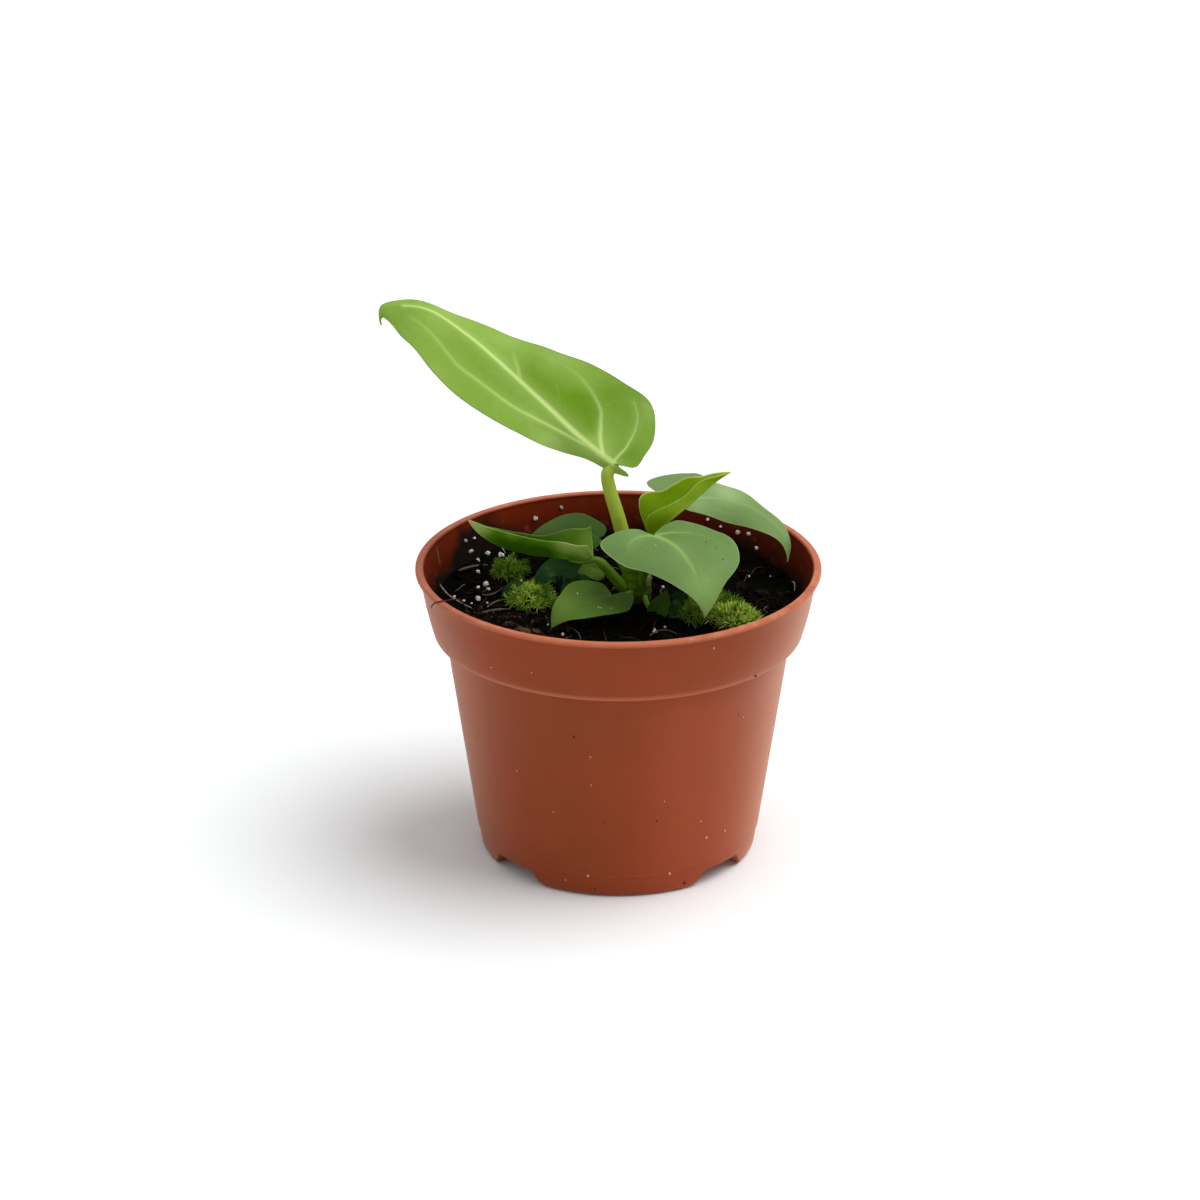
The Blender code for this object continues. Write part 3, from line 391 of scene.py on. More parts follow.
# Veins of each leaf: the route as shares across (-1 to 1) and along (0 to 1) the blade, then its half width
# and its strength at both ends. A leaf without an entry has the usual ones.
VEINS = {
    "tall_leaf": (
        (((0, 0.2), (0.02, 0.4), (0.01, 0.6), (0.01, 0.76), (0, 0.9)), (1.15, 0.25), (1.0, 0.7)),
        (((-0.06, 0.3), (-0.18, 0.35), (-0.37, 0.42), (-0.47, 0.48), (-0.51, 0.58), (-0.57, 0.65),
          (-0.53, 0.71), (-0.45, 0.8), (-0.42, 0.85)), (0.5, 0.6), (0.8, 0.15)),
        (((0, 0.25), (0.18, 0.28), (0.37, 0.3), (0.52, 0.32), (0.68, 0.38), (0.78, 0.44), (0.82, 0.51)),
         (0.85, 0.5), (1.0, 0.0)),
        (((0.05, 0.22), (0.27, 0.18), (0.43, 0.19), (0.58, 0.2), (0.78, 0.23), (0.86, 0.25)), (0.45, 0.38),
         (0.8, 0.25)),
        (((0.03, 0.54), (0.13, 0.55), (0.3, 0.57), (0.48, 0.59), (0.67, 0.61)), (0.8, 0.8), (0.5, 0.0)),
        (((0.5, 0.31), (0.67, 0.3), (0.78, 0.28)), (0.25, 0.25), (0.25, 0.0)),
        (((0.42, 0.455), (0.3, 0.43), (0.13, 0.41)), (0.22, 0.22), (0.12, 0.2)),
    ),
    "front_leaf": (
        (((0, 0.2), (0.02, 0.36), (0, 0.52), (-0.02, 0.7), (-0.01, 0.84), (0, 0.95)), (0.95, 0.5),
         (0.95, 0.1)),
        (((0, 0.22), (-0.15, 0.25), (-0.3, 0.28), (-0.45, 0.32), (-0.57, 0.35), (-0.66, 0.44),
          (-0.68, 0.52)), (0.65, 0.5), (0.9, 0.0)),
        (((0, 0.2), (0.14, 0.2), (0.25, 0.22), (0.4, 0.24), (0.53, 0.27), (0.63, 0.3), (0.7, 0.36)),
         (0.65, 0.6), (0.8, 0.0)),
    ),
    "back_leaf": (
        (((0, 0.22), (-0.08, 0.36), (-0.12, 0.46), (-0.09, 0.55), (-0.1, 0.64), (0, 0.9)), (0.75, 0.5),
         (0.7, 0.0)),
        (((0, 0.2), (-0.4, 0.28), (-0.6, 0.42), (-0.62, 0.6)), (0.5, 0.5), (0.25, 0.0)),
        (((0, 0.2), (0.4, 0.3), (0.6, 0.45), (0.6, 0.6)), (0.5, 0.5), (0.2, 0.0)),
    ),
    "young_leaf": (
        (((0, 0.2), (0, 0.5), (0, 0.95)), (0.4, 0.2), (0.8, 0.4)),
        (((0, 0.2), (-0.3, 0.27), (-0.5, 0.4), (-0.55, 0.6)), (0.4, 0.4), (0.35, 0.0)),
        (((0, 0.35), (-0.5, 0.45), (-0.85, 0.55)), (0.35, 0.35), (0.25, 0.0)),
        (((0, 0.55), (-0.5, 0.63), (-0.85, 0.7)), (0.35, 0.35), (0.2, 0.0)),
    ),
    "folded_leaf": (
        (((0, 0.2), (0, 0.5), (0, 0.95)), (0.5, 0.3), (0.4, 0.2)),
        (((0, 0.22), (0.4, 0.3), (0.62, 0.42), (0.66, 0.62)), (0.4, 0.3), (0.4, 0.0)),
        (((0, 0.22), (-0.4, 0.3), (-0.6, 0.42), (-0.6, 0.62)), (0.4, 0.3), (0.3, 0.0)),
    ),
}
USUAL_VEINS = (
    (((0, 0.2), (0, 0.5), (0, 0.96)), (0.5, 0.3), (0.7, 0.2)),
    (((0, 0.2), (-0.4, 0.27), (-0.62, 0.4), (-0.62, 0.65)), (0.3, 0.3), (0.5, 0.0)),
    (((0, 0.2), (0.4, 0.27), (0.62, 0.4), (0.62, 0.65)), (0.3, 0.3), (0.5, 0.0)),
)

# Painted shade and painted light on a blade, in soft patches: where they lie across and along it, how far
# they reach in millimetres, and their strength, above zero for painted shade in the deeper colour and below
# zero for painted light in the paler one
SHADE_AND_LIGHT_PATCHES = {
    "tall_leaf": (
        ((0.2, 0.33), 5.5, 0.9), ((0.2, 0.39), 6, 1.0), ((0.24, 0.47), 6, 0.95), ((0.3, 0.53), 4.5, 0.7),
        ((0.48, 0.36), 5, 0.5), ((0.76, 0.31), 4.5, 0.5), ((0.4, 0.1), 4.5, 0.9), ((0.62, 0.24), 5, 0.35),
        ((0.06, 0.28), 4, -0.6), ((0.92, 0.2), 4, -0.35), ((-0.7, 0.62), 7, -0.1), ((0.3, 0.8), 7, -0.2),
        ((-0.3, 0.6), 7, 0.25), ((-0.5, 0.1), 3, 1.0), ((-0.6, 0.32), 6, -0.5),
        ((0.72, 0.5), 7, -0.35), ((0.7, 0.62), 6, -0.2), ((0, 1), 3, 1.0), ((0.3, 0.35), 5, 0.4),
    ),
    "front_leaf": (
        ((-0.3, 0.2), 4, 1.0), ((-0.12, 0.31), 3, 0.6), ((0.5, 0.15), 5, -0.25), ((-0.3, 0.85), 8, -0.5),
        ((0.1, 0.18), 2.5, 0.6), ((0.2, 0.94), 7, -0.9), ((0.9, 0.35), 7, 0.55),
    ),
    "back_leaf": (
        ((-0.55, 0.5), 6, -1.1), ((0.55, 0.45), 6, 0.3), ((-0.4, 0.2), 4, 0.5), ((0.3, 0.25), 4, -0.5),
    ),
    "round_leaf": (((0.3, 0.8), 6, -0.9), ((0.2, 0.1), 4, 0.4)),
    "young_leaf": (
        ((0.2, 0.1), 4, 0.4), ((-0.7, 0.3), 4, 0.7), ((-0.75, 0.48), 4, 0.5), ((-0.75, 0.68), 4, 0.3),
        ((0.4, 0.5), 3.5, -0.9), ((0.5, 0.7), 4, -0.4),
    ),
    "folded_leaf": (
        ((-0.7, 0.1), 6, -1.0), ((-0.8, 0.24), 5, -0.6), ((-0.8, 0.42), 5, -0.3), ((-0.15, 0.3), 3.5, 0.9),
        ((-0.2, 0.48), 4, 1.0), ((-0.3, 0.62), 5, 1.0), ((-0.3, 0.76), 5, 0.8), ((0.85, 0.4), 7, 0.7),
        ((0.8, 0.2), 5, 0.4), ((0, 0.95), 5, -1.2), ((-0.9, 0.6), 2.5, -0.7), ((-0.9, 0.8), 3, -0.7),
    ),
    "small_leaf": (((0.5, 0.2), 5, 0.9), ((0, 0.15), 5, 0.6), ((0.5, 0.72), 5, -0.8), ((0, 0.92), 4, -0.6)),
}

# Screen colours of each leaf, from 0 to 255: blade, shaded patches, veins, margin and underside, then the
# strength of the veins and the margin's width. The patch colour is also used for painted shade, and the
# vein colour for painted light.
LEAF_LOOKS = {
    "tall_leaf": ((133, 168, 68), (100, 142, 22), (206, 230, 142), (104, 132, 70),
                  (112, 142, 62), 1.0, 0.3),
    "young_leaf": ((118, 152, 6), (102, 138, 2), (158, 182, 60), (200, 196, 118),
                   (128, 166, 14), 0.7, 0.7),
    "back_leaf": ((116, 145, 86), (100, 131, 66), (162, 188, 128), (138, 160, 100),
                  (114, 142, 82), 0.9, 0.35),
    "front_leaf": ((104, 134, 74), (88, 118, 58), (150, 184, 104), (142, 170, 104),
                   (106, 136, 76), 0.9, 0.4),
    "folded_leaf": ((92, 130, 28), (60, 110, 8), (182, 212, 110), (138, 152, 84),
                    (108, 162, 28), 0.4, 0.5),
    "round_leaf": ((60, 88, 34), (44, 70, 26), (84, 110, 52), (78, 102, 48), (60, 88, 34), 0.6, 0.4),
    "small_leaf": ((78, 108, 36), (58, 84, 28), (100, 130, 54), (90, 118, 50), (70, 98, 34), 0.6, 0.4),
    "light_leaf": ((90, 118, 40), (72, 100, 28), (112, 138, 58), (104, 130, 56), (82, 108, 36), 0.6, 0.4),
    # Painted shade: the low leaf and the sprouts have dark colours for the shade under the leaves above
    # them
    "low_leaf": ((40, 76, 28), (22, 50, 18), (44, 82, 40), (40, 76, 38), (30, 64, 30), 0.6, 0.4),
    "tiny_leaf": ((58, 94, 14), (34, 62, 8), (80, 112, 28), (60, 94, 22), (46, 78, 12), 0.6, 0.4),
    "low_sprouts": ((31, 62, 22), (14, 36, 12), (38, 68, 30), (32, 60, 26), (24, 50, 20), 0.6, 0.3),
}
LEAF_DOTS = (206, 212, 186)
DRY_LEAF = (206, 176, 134)

# The share of the length from which the tip of a leaf is dry, where it is dry
DRY_FROM = {"back_leaf": 0.985, "front_leaf": 0.99, "folded_leaf": 0.93, "small_leaf": 0.985}
NEVER_DRY = 1.1
DRY_FADE = 0.03

# Screen colours of the stalks of the tall leaf, the others and the sprouts: skin, darker and paler
# streaks. The tall leaf's stalk has a paler set, as painted light, and the sprouts a darker one, as painted
# shade
STALK_COLOURS = {
    "tall": ((162, 184, 62), (134, 160, 34), (206, 214, 134)),
    "other": ((100, 140, 34), (72, 110, 18), (140, 172, 74)),
    "sprout": ((30, 58, 26), (16, 38, 14), (44, 76, 38)),
}

# Light: the even surround, and a broad sun from the right, its height and apparent width in degrees
WORLD_STRENGTH = 0.58
SUN_STRENGTH = 2.17
SUN_HEIGHT = 62.7
SUN_WIDTH = 52

# Floor and camera: metres for the floor, the camera's place and the point that it looks at, and
# millimetres for its lens and sensor
FLOOR_HALF_WIDTH = 12
CAMERA_LENS = 140.45
CAMERA_SENSOR = 36.0
CAMERA_PLACE = (0, -1.2787, 0.6161)
CAMERA_AIM = (-0.00542, 0, 0.07788)


def linear(colour):
    """Linear colour and full alpha of a screen colour."""
    shares = [value / 255 for value in colour]
    return (*(share / 12.92 if share < 0.04 else ((share + 0.055) / 1.055) ** 2.4 for share in shares), 1.0)


# Mesh helpers

def mesh_of(name, work):
    """A mesh made from a bmesh, which is used up."""
    mesh = bpy.data.meshes.new(name)
    work.to_mesh(mesh)
    work.free()
    return mesh


def placed(name, data):
    """A new object in the scene."""
    item = bpy.data.objects.new(name, data)
    bpy.context.scene.collection.objects.link(item)
    return item


def finish_piece(name, work, surfaces, nodes=(), sharp=40):
    """Turns a bmesh in millimetres into a piece that rides with the pot, in place of the named nodes."""
    bmesh.ops.scale(work, vec=(MM, MM, MM), verts=work.verts)
    mesh = mesh_of(name, work)
    for surface in surfaces:
        mesh.materials.append(surface)
    mesh.polygons.foreach_set("use_smooth", [True] * len(mesh.polygons))
    mesh.set_sharp_from_angle(angle=math.radians(sharp))
    piece = placed(name, mesh)
    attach(piece, "root")
    if nodes:
        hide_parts(*nodes)


def value_layer(work, name):
    """The layer of one number for each point, made if it isn't there."""
    layers = work.verts.layers.float
    return layers.get(name) or layers.new(name)


def new_work(uv=None, toned=True):
    """A bmesh with a UV layer if one is named and with a tone for each point unless told otherwise."""
    work = bmesh.new()
    if uv:
        work.loops.layers.uv.new(uv)
    if toned:
        value_layer(work, "tone")
    return work


def smooth_route(route, count):
    """Even smooth curve through the points of a route."""
    route = np.array(route, float)
    steps = np.sqrt(np.linalg.norm(np.diff(route, axis=0), axis=1))
    knots = np.concatenate([[0], np.cumsum(steps)])
    slopes = np.gradient(route, knots, axis=0, edge_order=2 if len(route) > 2 else 1)
    found = []
    for place in np.linspace(0, knots[-1], count):
        i = min(int(np.searchsorted(knots, place, side="right")) - 1, len(knots) - 2)
        span = knots[i + 1] - knots[i]
        u = (place - knots[i]) / span
        found.append((1 + 2 * u) * (1 - u) ** 2 * route[i] + u * (1 - u) ** 2 * span * slopes[i]
                     + u * u * (3 - 2 * u) * route[i + 1] + u * u * (u - 1) * span * slopes[i + 1])
    return np.array(found)


def lengths(curve):
    """Length of the curve up to each of its points."""
    return np.concatenate([[0], np.cumsum(np.linalg.norm(np.diff(curve, axis=0), axis=1))])


def along(values, share):
    """Value at a share of the length, eased between equal steps."""
    values = np.array(values, float)
    place = np.clip(share, 0, 1) * (len(values) - 1)
    i = np.minimum(place.astype(int), len(values) - 2)
    u = place - i
    u = u * u * (3 - 2 * u)
    if values.ndim > 1:
        u = u[..., None]
    return values[i] + (values[i + 1] - values[i]) * u


def unit(vectors):
    """Vectors of length 1."""
    size = np.linalg.norm(vectors, axis=-1)[..., None]
    return vectors / np.maximum(size, 1e-9)


def tube(work, route, radii, sides, rings, surface=0, tone=None):
    """A closed round bar along a route, its radius easing through the given radii."""
    curve = smooth_route(route, rings + 1)
    slopes = unit(np.gradient(curve, axis=0))
    sideways = unit(np.cross(slopes, TUBE_SIDE))
    upright = np.cross(sideways, slopes)
    sizes = along(radii, np.linspace(0, 1, rings + 1))
    sizes[[0, -1]] = 0
    made = bmesh.ops.create_grid(work, x_segments=sides, y_segments=rings, size=1, calc_uvs=True)["verts"]
    faces = list({face for vert in made for face in vert.link_faces})
    for vert in made:
        ring = round((vert.co.y + 1) / 2 * rings)
        turn = math.pi * vert.co.x
        side = math.cos(turn) * sideways[ring] + math.sin(turn) * upright[ring]
        vert.co = Vector(curve[ring] + sizes[ring] * side)
        if tone is not None:
            vert[value_layer(work, "tone")] = tone
    for face in faces:
        face.material_index = surface
    bmesh.ops.recalc_face_normals(work, faces=faces)
    bmesh.ops.remove_doubles(work, verts=made, dist=MERGE)


def scatter(work, template, places, tones):
    """Copies of a small mesh, one for each matrix, each with its own tone."""
    count = len(template.vertices)
    for place, tone in zip(places, tones):
        copy = template.copy()
        copy.transform(place)
        copy.attributes["tone"].data.foreach_set("value", [tone] * count)
        work.from_mesh(copy)
        bpy.data.meshes.remove(copy)


def lump(subdivisions, roughness, offset):
    """An irregular grain about one across, to scatter."""
    work = new_work()
    bmesh.ops.create_icosphere(work, subdivisions=subdivisions, radius=0.5)
    for vert in work.verts:
        vert.co *= 1 + roughness * noise.noise(vert.co * 3 + Vector((offset, 0, 0)))
    return mesh_of("grain", work)


# Pot

def inner_band_radius(height):
    """Inner radius of the pot between the ledge and the lip."""
    share = (height - LEDGE) / (LIP_BOTTOM - LEDGE)
    return BAND_BOTTOM_RADIUS - SHELL + share * (LIP_INNER_RADIUS - BAND_BOTTOM_RADIUS + SHELL)


def outer_profile():
    """Outside of the pot from the middle of its foot up to the rim, as radius and height."""
    wall_slope = (WALL_TOP_RADIUS - WALL_LOW_RADIUS) / (BAND_BOTTOM - WALL_LOW)
    crease_radius = WALL_LOW_RADIUS + wall_slope * (CREASE_HEIGHT - WALL_LOW)
    foot = [(BASE_RADIUS + out, height) for out, height in FOOT_RINGS]
    band = [(radius, BAND_BOTTOM + over) for radius, over in BAND_RINGS]
    return ((0, 0), *foot, (WALL_LOW_RADIUS - CREASE_DEPTH, WALL_LOW),
            (crease_radius - CREASE_DEPTH, CREASE_HEIGHT - CREASE_WIDTH), (crease_radius, CREASE_HEIGHT),
            (WALL_TOP_RADIUS, BAND_BOTTOM), *band, (BAND_TOP_RADIUS, LIP_BOTTOM),
            (RIM_RADIUS, LIP_BOTTOM + 0.1), (RIM_RADIUS, POT_HEIGHT), (0, POT_HEIGHT))


def cavity_profile():
    """Inside of the pot from the middle of its floor up past the rim, as radius and height."""
    top = POT_HEIGHT + CAVITY_CUTTER_ABOVE
    softened = LIP_INNER_RADIUS + LIP_SOFTENING
    return ((0, FLOOR), (BASE_RADIUS - 1.1, FLOOR), (WALL_LOW_RADIUS - SHELL - 0.4, FLOOR + FLOOR_CORNER),
            (WALL_TOP_RADIUS - SHELL, LEDGE), (inner_band_radius(LEDGE), LEDGE),
            (LIP_INNER_RADIUS, LIP_BOTTOM), (LIP_INNER_RADIUS, POT_HEIGHT - 0.5),
            (softened, POT_HEIGHT + 0.2), (softened, top), (0, top))


def turned(name, profile, softened):
    """A solid turned round the pot axis, with the named rings rounded: radius, height and rounding."""
    work = bmesh.new()
    verts = [work.verts.new((radius, 0, height)) for radius, height in profile]
    edges = [work.edges.new(pair) for pair in zip(verts, verts[1:])]
    bmesh.ops.spin(work, geom=verts + edges, cent=(0, 0, 0), axis=(0, 0, 1), dvec=(0, 0, 0),
                   angle=2 * math.pi, steps=POT_SIDES, use_merge=True)
    bmesh.ops.remove_doubles(work, verts=work.verts, dist=MERGE)
    bmesh.ops.recalc_face_normals(work, faces=work.faces)
    for radius, height, rounding in softened:
        ring = [edge for edge in work.edges if all(on_ring(vert, radius, height) for vert in edge.verts)]
        bmesh.ops.bevel(work, geom=ring, offset=rounding, affect="EDGES", segments=4, profile=0.5,
                        material=-1)
    return placed(name, mesh_of(name, work))


def on_ring(vert, radius, height):
    """Whether a point lies on a ring round the pot axis."""
    return abs(math.hypot(vert.co.x, vert.co.y) - radius) < 0.01 and abs(vert.co.z - height) < 0.01


def cut(item, tool):
    """Cuts the tool out of the item and uses the tool up."""
    change = item.modifiers.new("cut", "BOOLEAN")
    change.operation = "DIFFERENCE"
    change.object = tool
    change.solver = "EXACT"
    depsgraph = bpy.context.evaluated_depsgraph_get()
    depsgraph.update()
    shaped = bpy.data.meshes.new_from_object(item.evaluated_get(depsgraph))
    item.modifiers.clear()
    item.data = shaped
    bpy.data.objects.remove(tool, do_unlink=True)


def notch_prism(turn, extra):
    """Tapered block that shapes one drainage notch, made larger on every side by the extra."""
    work = bmesh.new()
    bmesh.ops.create_cube(work, size=1)
    inner = NOTCH_INNER_RADIUS - extra
    for vert in work.verts:
        low = vert.co.z < 0
        half = (NOTCH_WIDTH_LOW if low else NOTCH_WIDTH_HIGH) / 2 + extra
        vert.co.x = inner if vert.co.x < 0 else NOTCH_OUTER_RADIUS
        vert.co.y = math.copysign(half, vert.co.y)
        vert.co.z = 0 if low else NOTCH_HEIGHT + extra
    foot = [face for face in work.faces if all(vert.co.z == 0 for vert in face.verts)]
    painted_shade = bmesh.ops.extrude_face_region(work, geom=foot)["geom"]
    sunk = [item for item in painted_shade if isinstance(item, bmesh.types.BMVert)]
    bmesh.ops.translate(work, vec=(0, 0, -NOTCH_CUTTER_BELOW), verts=sunk)
    bmesh.ops.delete(work, geom=foot, context="FACES")
    bmesh.ops.recalc_face_normals(work, faces=work.faces)
    around = Matrix.Rotation(math.radians(turn), 3, "Z")
    bmesh.ops.rotate(work, cent=(0, 0, 0), matrix=around, verts=work.verts)
    return placed("notch cutter", mesh_of("notch cutter", work))


def drain_cylinder(turn):
    """Upright bar that drills the drain hole of one notch."""
    angle = math.radians(turn)
    work = bmesh.new()
    place = (DRAIN_FROM_AXIS * math.cos(angle), DRAIN_FROM_AXIS * math.sin(angle), DRAIN_CUTTER_MIDDLE)
    bmesh.ops.create_cone(work, cap_ends=True, segments=32, radius1=DRAIN_RADIUS, radius2=DRAIN_RADIUS,
                          depth=DRAIN_CUTTER_LENGTH, matrix=Matrix.Translation(place))
    return placed("drain cutter", mesh_of("drain cutter", work))


def build_pot(surface):
    """Thin moulded shell with a rounded lip, a flared band over a ledge and four drainage notches."""
    outside = turned("outside", outer_profile(), (
        (RIM_RADIUS, POT_HEIGHT, 0.6), (RIM_RADIUS, LIP_BOTTOM + 0.1, 0.45),
        (BAND_TOP_RADIUS, LIP_BOTTOM, 0.4), (BAND_BOTTOM_RADIUS - 0.1, BAND_BOTTOM, 0.5),
        (WALL_TOP_RADIUS, BAND_BOTTOM, 0.6)))
    inside = turned("inside", cavity_profile(), ((LIP_INNER_RADIUS, LIP_BOTTOM, 0.5),))
    for turn in NOTCH_TURNS:
        cut(outside, notch_prism(turn, 0))
        cut(inside, notch_prism(turn, SHELL))
    cut(outside, inside)
    for turn in NOTCH_TURNS:
        cut(outside, drain_cylinder(turn))
    work = bmesh.new()
    work.from_mesh(outside.data)
    bpy.data.objects.remove(outside, do_unlink=True)
    bmesh.ops.remove_doubles(work, verts=work.verts, dist=MERGE)
    layer = value_layer(work, "inside")
    for vert in work.verts:
        radius = math.hypot(vert.co.x, vert.co.y)
        above = vert.co.z > BAND_BOTTOM and radius < inner_band_radius(min(vert.co.z, LIP_BOTTOM)) + 0.2
        vert[layer] = float(above)
    finish_piece("nursery_pot", work, [surface], ("pot",), sharp=28)


def build_stuck_grains(where, rows, pale, dark):
    """Grains of dirt and perlite dust that stick to the outside of the pot or to the leaves."""
    for tone, surface, wanted in (("pale", pale, True), ("dark", dark, False)):
        work = new_work()
        chosen = [row for row in rows if row[4] == wanted]
        places = [Matrix.Translation(row[:3]) @ Matrix.Scale(0.8 * row[3], 4) for row in chosen]
        scatter(work, lump(2, roughness=0.8, offset=3.1), places, [0.5] * len(places))
        finish_piece(f"{tone}_grains_on_{where}", work, [surface])


# Soil and what lies on it

def soil_height(x, y):
    """Height of the soil: a mound round the crown, a rise toward the back and low lumps."""
    from_crown = (x - CROWN_X) ** 2 + (y - CROWN_Y) ** 2
    mound = SOIL_MOUND * math.exp(-from_crown / (2 * SOIL_MOUND_SPREAD ** 2))
    lumps = math.sin(x / 3.9 + 1.0) * math.cos(y / 4.7) + 0.7 * math.sin(x / 7.3 - y / 3.1 + 2.0)
    return SOIL_LEVEL + mound + SOIL_BACK_RISE * y + SOIL_LUMP * lumps


def rough_soil(x, y):
    """Height of the crumbly surface."""
    crumble = noise.fractal(Vector((x / CRUMBLE_SIZE, y / CRUMBLE_SIZE, 0.7)), 0.9, 2.1, 4)
    return soil_height(x, y) + CRUMBLE_HEIGHT * crumble


def disc_place(x, y):
    """Place on a round disc of a point of a square, both from -1 to 1."""
    if x == 0 and y == 0:
        return 0.0, 0.0
    if abs(x) > abs(y):
        return x * math.cos(math.pi / 4 * y / x), x * math.sin(math.pi / 4 * y / x)
    return y * math.sin(math.pi / 4 * x / y), y * math.cos(math.pi / 4 * x / y)


def build_soil(surface):
    """Potting soil that fills the pot, with a crumbly top."""
    work = bmesh.new()
    edge = inner_band_radius(SOIL_LEVEL) - SOIL_GAP
    bmesh.ops.create_grid(work, x_segments=SOIL_CELLS, y_segments=SOIL_CELLS, size=1)
    for vert in work.verts:
        x, y = disc_place(vert.co.x, vert.co.y)
        vert.co = (edge * x, edge * y, rough_soil(edge * x, edge * y))
    rim = [item for item in work.edges if item.is_boundary]
    ledge = LEDGE + SOIL_OVER_LEDGE
    side = ((inner_band_radius(ledge) - SOIL_GAP, ledge), (WALL_TOP_RADIUS - SHELL - SOIL_GAP, ledge),
            (WALL_LOW_RADIUS - SHELL - SOIL_LOW_GAP, SOIL_BOTTOM))
    for radius, height in side:
        made = bmesh.ops.extrude_edge_only(work, edges=rim)["geom"]
        rim = [item for item in made if isinstance(item, bmesh.types.BMEdge) and item.is_boundary]
        for vert in {vert for item in rim for vert in item.verts}:
            share = radius / math.hypot(vert.co.x, vert.co.y)
            vert.co = (vert.co.x * share, vert.co.y * share, height)
    bmesh.ops.holes_fill(work, edges=rim, sides=0)
    bmesh.ops.recalc_face_normals(work, faces=work.faces)
    finish_piece("soil_surface", work, [surface], ("soil",), sharp=60)


def grain_place(draw, x, y, height, size, flatness):
    """Where a loose grain lies, turned and flattened by chance."""
    turn = Matrix.Rotation(draw.uniform(0, 6.28), 4, "Z")
    tilt = Matrix.Rotation(draw.uniform(-0.7, 0.7), 4, "X")
    shape = Matrix.Diagonal((size, size * draw.uniform(0.55, 1), size * flatness, 1))
    return Matrix.Translation((x, y, height)) @ turn @ tilt @ shape


def spot_on_soil(draw, reach):
    """A random place on the soil, evenly spread."""
    radius = reach * math.sqrt(draw.random())
    turn = draw.uniform(0, 2 * math.pi)
    return radius * math.cos(turn), radius * math.sin(turn)


def crumb_tone(x, y, chance):
    """Tone of a crumb, brown toward the front left and near black toward the back left."""
    if x < BROWN_LEFT_OF and BROWN_FROM_TO[0] < y < BROWN_FROM_TO[1]:
        return 0.7 + 1.3 * chance
    if x < BLACK_LEFT_OF and y > BLACK_BEHIND:
        return 0.4 * chance
    return chance


def build_crumbs(surface):
    """Crumbs and clods of dark peat and bark."""
    draw = random.Random(SEED)
    for name, (count, sizes, detail, from_wall) in CRUMBS.items():
        work = new_work()
        for kind in range(CRUMB_KINDS):
            places = []
            tones = []
            for _ in range(count // CRUMB_KINDS):
                x, y = spot_on_soil(draw, inner_band_radius(SOIL_LEVEL) - from_wall)
                size = draw.uniform(*sizes)
                height = rough_soil(x, y) + 0.1 * size
                places.append(grain_place(draw, x, y, height, size, draw.uniform(0.4, 0.8)))
                tones.append(crumb_tone(x, y, draw.random() ** 2))
            scatter(work, lump(detail, roughness=1.1, offset=4.3 * kind), places, tones)
        finish_piece(name, work, [surface], sharp=35)


def build_perlite(surface):
    """White grains of perlite, those that the photograph shows and more among them."""
    draw = random.Random(SEED + 1)
    work = new_work()
    grains = [lump(2, roughness=0.6, offset=2.7 * kind) for kind in range(3)]
    rows = list(PERLITE)
    for number in range(MORE_PERLITE):
        x, y = spot_on_soil(draw, PERLITE_REACH)
        if y > -5 or number % 3 == 0:
            rows.append((x, y, draw.uniform(0.1, 0.5), draw.uniform(0.6, 1.7)))
    for number, (x, y, over, size) in enumerate(rows):
        base = soil_height(x, y) if over > 1 else rough_soil(x, y)
        place = grain_place(draw, x, y, base + over, size, draw.uniform(0.6, 0.95))
        scatter(work, grains[number % 3], [place], [draw.random()])
    finish_piece("perlite", work, [surface], sharp=35)


def build_fibres(surface):
    """Coir fibres, dry roots and straws that lie on the soil."""
    draw = random.Random(SEED + 2)
    work = new_work("strand")
    for route, radius, tone in STRANDS:
        places = [(x, y, soil_height(x, y) + over) for x, y, over in route]
        tube(work, places, (radius, radius, 0.5 * radius), sides=6, rings=16, tone=tone)
    for number in range(FIBRES):
        places = fibre_route(draw)
        radius = draw.uniform(0.06, 0.15)
        tone = draw.uniform(0.15, 0.4) if number % 4 == 0 else draw.uniform(0.5, 1)
        tube(work, places, (radius, radius, 0.4 * radius), sides=5, rings=8, tone=tone)
    finish_piece("fibres_and_roots", work, [surface])


def fibre_route(draw):
    """A random bent route over the soil, kept inside the pot."""
    x, y = spot_on_soil(draw, FIBRE_REACH)
    heading = draw.uniform(0, 2 * math.pi)
    length = draw.uniform(3, 11)
    bend = draw.uniform(-0.8, 0.8)
    places = []
    for step in range(4):
        share = step / 3
        places.append((x, y, rough_soil(x, y) + 0.2 + 1.1 * math.sin(math.pi * share) * draw.random()))
        x += length / 3 * math.cos(heading)
        y += length / 3 * math.sin(heading)
        heading += bend
        shrink = min(1, FIBRE_LIMIT / max(1, math.hypot(x, y)))
        x, y = x * shrink, y * shrink
    return places


# Moss

def upright_cone(work, low_radius, top_radius, height):
    """The points of a four-sided cone that stands on the origin."""
    return bmesh.ops.create_cone(work, cap_ends=True, segments=4, radius1=low_radius, radius2=top_radius,
                                 depth=height, matrix=Matrix.Translation((0, 0, height / 2)))["verts"]


def moss_shoot(stem, spread):
    """One shoot of moss: a thin stem with narrow leaves round it that open into a star at its top."""
    work = new_work("shoot")
    upright_cone(work, *STEM_RADII, stem)
    for number in range(MOSS_NEEDLES):
        share = number / (MOSS_NEEDLES - 1)
        needle = upright_cone(work, NEEDLE_RADIUS, 0, NEEDLE_LENGTH - NEEDLE_SHORTENING * share)
        bmesh.ops.scale(work, vec=(1, 0.4, 1), verts=needle)
        tilt = math.radians(spread * (1 - 0.75 * share))
        place = (Matrix.Translation((0, 0, stem * (0.45 + 0.55 * share)))
                 @ Matrix.Rotation(GOLDEN_TURN * number, 4, "Z") @ Matrix.Rotation(tilt, 4, "X"))
        bmesh.ops.transform(work, matrix=place, verts=needle)
    return mesh_of("shoot", work)


